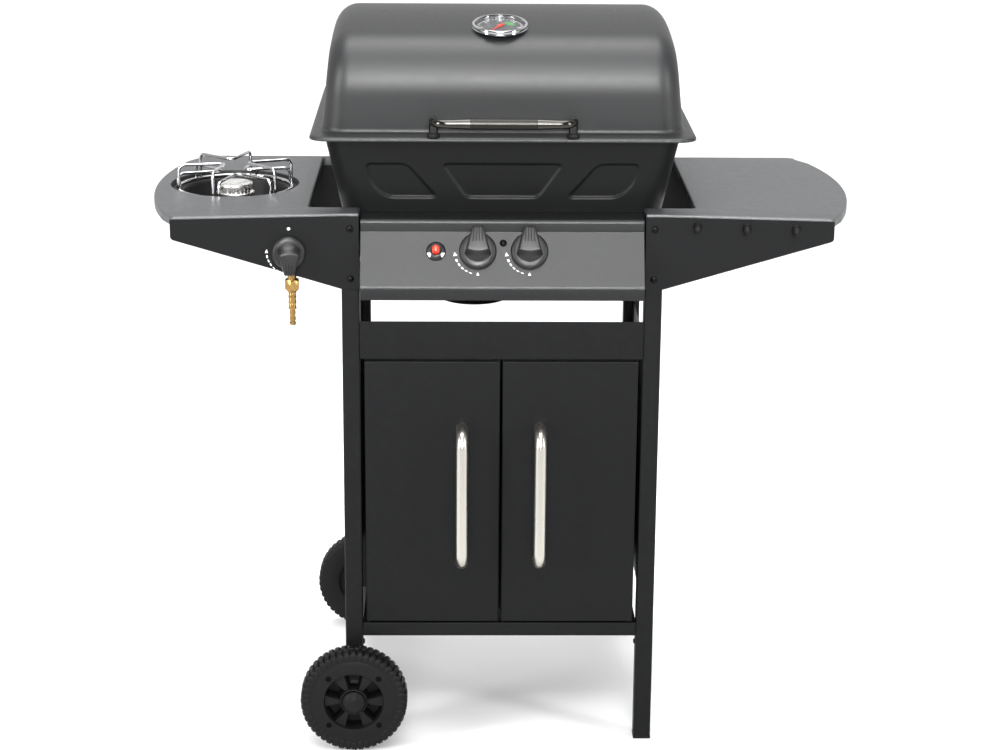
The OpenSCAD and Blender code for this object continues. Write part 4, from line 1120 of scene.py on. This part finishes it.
def make_firebox():
    low, high = box_mm("firebox")
    z0, z1 = low.z, high.z
    hw1, hd1 = high.x - 6, high.y - 6
    wall = 2.5

    def level(z, t=0.0):
        k = (z - z0) / (z1 - z0)
        return hw1 - (z1 - z) * DRAFT - t, hd1 - (z1 - z) * DRAFT - t, 24 + 12 * k - t

    dense = [WINDOW_Z[0] - 6 + i * 1.7 for i in range(37)]
    heights = [z0 + 8, z0 + 30, z0 + 60, z0 + 90, *dense, z1 - 22, z1 - 9, z1 - 3.2]
    rings = []
    for drop, z in ((9.0, z0), (5.0, z0 + 0.8), (2.0, z0 + 3.0)):
        hw, hd, r = level(z0)
        rings.append(box_loop(hw - drop, hd - drop, r - drop * 0.4, z))
    for z in heights:
        rings.append(box_loop(*level(z), z, press=True))
    for out, z in ((0.8, z1 - 2.6), (5.4, z1 - 2.5), (6.0, z1 - 2.0), (6.0, z1 - 0.5), (5.4, z1),
                   (-2.2, z1), (-2.5, z1 - 0.6)):
        rings.append(box_loop(hw1 + out, hd1 + out, 36 + out, z))
    for z in reversed(heights):
        rings.append(box_loop(*level(z, wall), z, press=True))
    hw, hd, r = level(z0)
    rings.append(box_loop(hw - 12, hd - 12, r - 6, z0 + wall))
    bm = bmesh.new()
    solid(bm, rings)
    grate_z = box_mm("cooking_grate")[0].z
    hw, hd, r = level(grate_z, wall - 0.5)
    ledge = [box_loop(hw - drop, hd - drop, r - less, grate_z - down, 8, 8)
             for drop, less, down in ((0, 0, 0.05), (0, 0, 4), (12, 8, 4), (12, 8, 0.05))]
    loft(bm, ledge, loop=True)
    piece("firebox_shell", bm, FIREBOX, "firebox", 50)

    refined("burners", PLAIN, 1.2, 2)
    refined("heat_plates", PLAIN, 0.3)
    refined("cooking_grate", IRON, 1.3, 2)
    refined("cup_hanger", PLAIN, 0.2)
    low, high = box_mm("grease_cup")
    c = (low + high) / 2
    bm = bmesh.new()
    r = high.x - c.x
    lathe(bm, [(0, low.z), (r - 9, low.z), (r - 5.4, low.z + 1.6), (r - 4.2, low.z + 5),
               (r - 4, high.z - 2.4), (r - 3.2, high.z - 1.2), (r, high.z - 1.2), (r, high.z),
               (r - 4.4, high.z), (r - 5.0, high.z - 1), (r - 5.2, low.z + 5),
               (r - 6.4, low.z + 2.6), (r - 9, low.z + 1.2), (0, low.z + 1.2)], 72,
          move(c.x, c.y, 0))
    piece("grease_cup_spun", bm, FIREBOX, "grease_cup")


# ---- lid ----

CROWN_R, CORNER_R, END_R, LID_TOP = 600.0, 78.0, 33.0, 1042.0
CORNER_Y, END_X = 113.5, 205.0
# the corner's arc runs between these angles, from the lower wall to the crown
LOW_ANGLE, HIGH_ANGLE = 186.6, 102.6
LID_FOOT = (-152.0, 896.9)
POST_X, POST_Y, POST_R, POST_BEND = 95.0, -213.0, 6.0, 18
CORNER_Z = LID_TOP - CROWN_R + sqrt((CROWN_R - CORNER_R) ** 2 - CORNER_Y ** 2)


def lid_loop(front, out, r, xc, n=26, side_n=22, corner_n=9):
    """One ring of the lid: front and back lines along X, joined round each end.

    front is the fillet centre (y, z) of the front line and out the direction in which that
    line stands off it; the back half mirrors the front one."""
    (cy, cz), (oy, oz) = front, out
    quarter = [radians(90 * i / corner_n) for i in range(corner_n + 1)]

    def spot(y_side, a):
        return (xc + r * sin(a), y_side * -(cy + oy * r * cos(a)),
                cz + oz * r * cos(a))
    half = [(-xc + 2 * xc * i / n, cy + oy * r, cz + oz * r) for i in range(n + 1)]
    half += [spot(-1, a) for a in quarter[1:]]
    half += [(xc + r, cy - 2 * cy * i / side_n, cz) for i in range(1, side_n + 1)]
    half += [spot(1, a) for a in reversed(quarter[:-1])]
    return half + [(-x, -y, z) for x, y, z in half[1:-1]]


def lid_end(z):
    """Half the distance between the end fillets' centres at height z."""
    return END_X + 0.095 * (LID_TOP - END_R - z)


def lid_rings(wall):
    """Rings from the rim up to the crown's ridge, drawn in from the outside by wall."""
    def turned(y, z, radius, a):
        oy, oz = cos(radians(a)), sin(radians(a))
        return (y + radius * oy, z + radius * oz), (oy, oz)

    corner = (-CORNER_Y, CORNER_Z, CORNER_R - END_R)
    start, lean = map(Vector, turned(*corner, LOW_ANGLE))
    foot = Vector(LID_FOOT)
    rings = []
    for i in range(8):
        t = i / 8
        rings.append(lid_loop(foot.lerp(start, t), Vector((-1, 0)).lerp(lean, t),
                              36 - 3 * t - wall, 214 + (lid_end(start.y) - 214) * t))
    spots = [turned(*corner, LOW_ANGLE + (HIGH_ANGLE - LOW_ANGLE) * i / 14) for i in range(15)]
    spots += [turned(0, LID_TOP - CROWN_R, CROWN_R - END_R, HIGH_ANGLE + (90 - HIGH_ANGLE) * i / 9)
              for i in range(1, 10)]
    return rings + [lid_loop(c, out, END_R - wall, lid_end(c[1])) for c, out in spots]


def make_lid():
    low, high = box_mm("lid_shell")
    rim_z = low.z

    def rim(f, rise, grow=0.0):
        """A ring between the wall's foot (f = 0) and the outer edge of the rim (f = 1)."""
        r = lerp(36, 26, f) + grow
        xc, yc = lerp(250, high.x, f) + grow - r, lerp(188, high.y, f) + grow - r
        return lid_loop((-yc, rim_z + rise), (-1, 0), r, xc)

    outside = ((1, 0, -1.0), (1, 0, -0.3), (1, 0.7), (1, 2.4), (1, 4.0, -0.7), (1, 5.1, -2.0),
               (0.82, 5.6), (0.4, 6.0), (0.2, 6.1), (0.09, 6.4), (0.03, 7.3), (0, 8.8))
    inside = ((1, 0, -1.9), (1, 2.2, -2.0), (0.85, 3.0), (0.2, 3.6), (0, 3.8, -2.0))
    inner = [rim(*row) for row in inside] + lid_rings(2.0)[1:]
    outer = [rim(*row) for row in outside] + lid_rings(0)[1:]
    bm = bmesh.new()
    loft(bm, inner[::-1] + outer)
    piece("lid_pressed", bm, LID, "lid_shell", 46)
    refined("lid_hinge_ears", LID, 0.5, 2)

    grip_low, grip_high = box_mm("lid_handle_grip")
    y, z = (grip_low.y + grip_high.y) / 2, (grip_low.z + grip_high.z) / 2
    half = grip_high.x
    bm = bmesh.new()
    sweep(bm, [(-half, y, z), (-half + 0.6, y, z), (half - 0.6, y, z), (half, y, z)],
          [7.0, 7.5, 7.5, 7.0], 36)
    piece("lid_handle_bar", bm, GRIP, "lid_handle_grip")
    path = fillet([(half, y, z), (POST_X, y, z), (POST_X, POST_Y, z),
                   (POST_X, POST_Y, rim_z + 11.4)], [0, POST_BEND, 12, 0], 10)
    straight = [Vector((half + (POST_X - POST_BEND - half) * i / 6, y, z)) for i in range(6)]
    path = straight + path[1:]
    # the bar widens towards the grip over its last 30 mm
    radii = [POST_R + 1.4 * max(0.0, 1 - (p.x - half) / 30) if abs(p.y - y) < 0.01 else POST_R
             for p in path]
    bm = bmesh.new()
    sweep(bm, path, radii, 28)
    mirror_x(bm)
    piece("lid_handle_tapers", bm, DARK_CHROME, "lid_handle_ends")
    bm = bmesh.new()
    for s in (-1, 1):
        place = move(s * POST_X, POST_Y, rim_z + 5.4)
        lathe(bm, [(0, 0.3), (8.6, 0.3), (8.9, 1.0), (8.5, 4.6), (7.8, 6.0), (6.6, 6.6), (6.1, 6.6),
                   (0, 6.6)], 40, place)
    piece("lid_handle_feet", bm, RUBBER, "lid_handle_spacers")


GAUGE_X, GAUGE_Y, GAUGE_TILT = -4.0, -120.0, radians(10.5)
GAUGE_R, GAUGE_H, DIAL_Z = 38.5, 8.0, 2.6
SCALE_START, SCALE_SWEEP, TICKS, TICKS_PER_MARK = -60, 300, 30, 5
POINTER_REST = 150


def make_gauge():
    z = LID_TOP - CROWN_R + sqrt(CROWN_R ** 2 - GAUGE_Y ** 2) + 0.6
    place = facing((GAUGE_X, GAUGE_Y, z), (0, -sin(GAUGE_TILT), cos(GAUGE_TILT)), (0, 1, 0))
    r, h = GAUGE_R, GAUGE_H
    bm = bmesh.new()
    case = [(0, -0.4), (r - 2.5, -0.4), (r - 1, 0.4), (r - 0.2, 2.0), (r - 0.8, 3.0), (r, 3.8),
            (r, h - 2.0), (r - 0.5, h - 0.8), (r - 1.6, h), (r - 3.0, h - 0.2), (r - 3.9, h - 1.2),
            (r - 4.2, 2.4), (0, 2.4)]
    lathe(bm, case, 96, place)
    lathe(bm, [(0, -60), (2.6, -60), (3.0, -59), (3.0, 0), (0, 0)], 24, place)
    piece("gauge_case_bezel", bm, CHROME, "gauge_case")
    bm = bmesh.new()
    lathe(bm, [(0, 2.35), (r - 4.4, 2.35), (r - 4.4, DIAL_Z), (0, DIAL_Z)], 72, place)
    piece("gauge_dial", bm, DIAL, body="lid", slot="shelf_grey")
    bm = bmesh.new()
    lift = place @ move(0, 0, DIAL_Z)
    for i in range(TICKS + 1):
        inner_r, width = (28.0, 0.6) if i % TICKS_PER_MARK else (24.0, 1.1)
        a = SCALE_START + SCALE_SWEEP * i / TICKS
        spot = lift @ turn_z(a)
        add_mark(bm, [(inner_r, -width / 2), (31.5, -width / 2), (31.5, width / 2),
                      (inner_r, width / 2)], spot, 0.08)
    piece("gauge_marks", bm, WHITE, body="lid")
    bm = bmesh.new()
    add_mark(bm, arc((0, 0), 22.5, 62, 12, 10) + arc((0, 0), 12.0, 12, 62, 10), lift, 0.06)
    piece("gauge_green_zone", bm, GREEN, body="lid")

    bm = bmesh.new()
    hub = place @ move(0, 0, 3.0)
    lathe(bm, [(0, 0), (3.8, 0), (4.0, 0.3), (4.0, 1.3), (3.4, 1.7), (0, 1.9)], 32, hub)
    arm = hub @ turn_z(POINTER_REST)
    slab(bm, [Vector(p) for p in ((-2, -10), (2, -10), (0.6, 26), (-0.6, 26))], 0.05, 0.75, 0.15,
         arm)
    piece("gauge_pointer_arm", bm, RED, "gauge_needle")
    bm = bmesh.new()
    lathe(bm, [(0, h - 2.6), (r - 4.3, h - 2.6), (r - 4.3, h - 1.8), (24, h - 1.3), (12, h - 1.0),
               (0, h - 0.9)], 72, place)
    piece("gauge_glass_dome", bm, GLASS, "gauge_glass")


# ---- scene ----


def make_floor():
    """A pale matt floor with a faint tooth, wide enough to fill every view."""
    look = Look("floor_pale")
    look.color(look.mix(look.ramp(look.noise(400, 3), *NOISE_SPAN), (0.86, 0.86, 0.86),
                        (0.89, 0.89, 0.89)))
    look.rough(0.85, 0.04)
    look.relief((3, 0.02, None))
    bm = bmesh.new()
    bmesh.ops.create_grid(bm, x_segments=2, y_segments=2, size=60)
    mesh = bpy.data.meshes.new("floor")
    bm.to_mesh(mesh)
    bm.free()
    mesh.materials.append(look.material)
    floor = bpy.data.objects.new("floor", mesh)
    bpy.context.scene.collection.objects.link(floor)


make_camera()
make_studio()
make_floor()
make_legs()
make_running_gear()
make_cabinet()
make_doors()
make_shelves()
make_panel()
make_controls()
make_hose_tail()
make_side_burner()
make_firebox()
make_lid()
make_gauge()
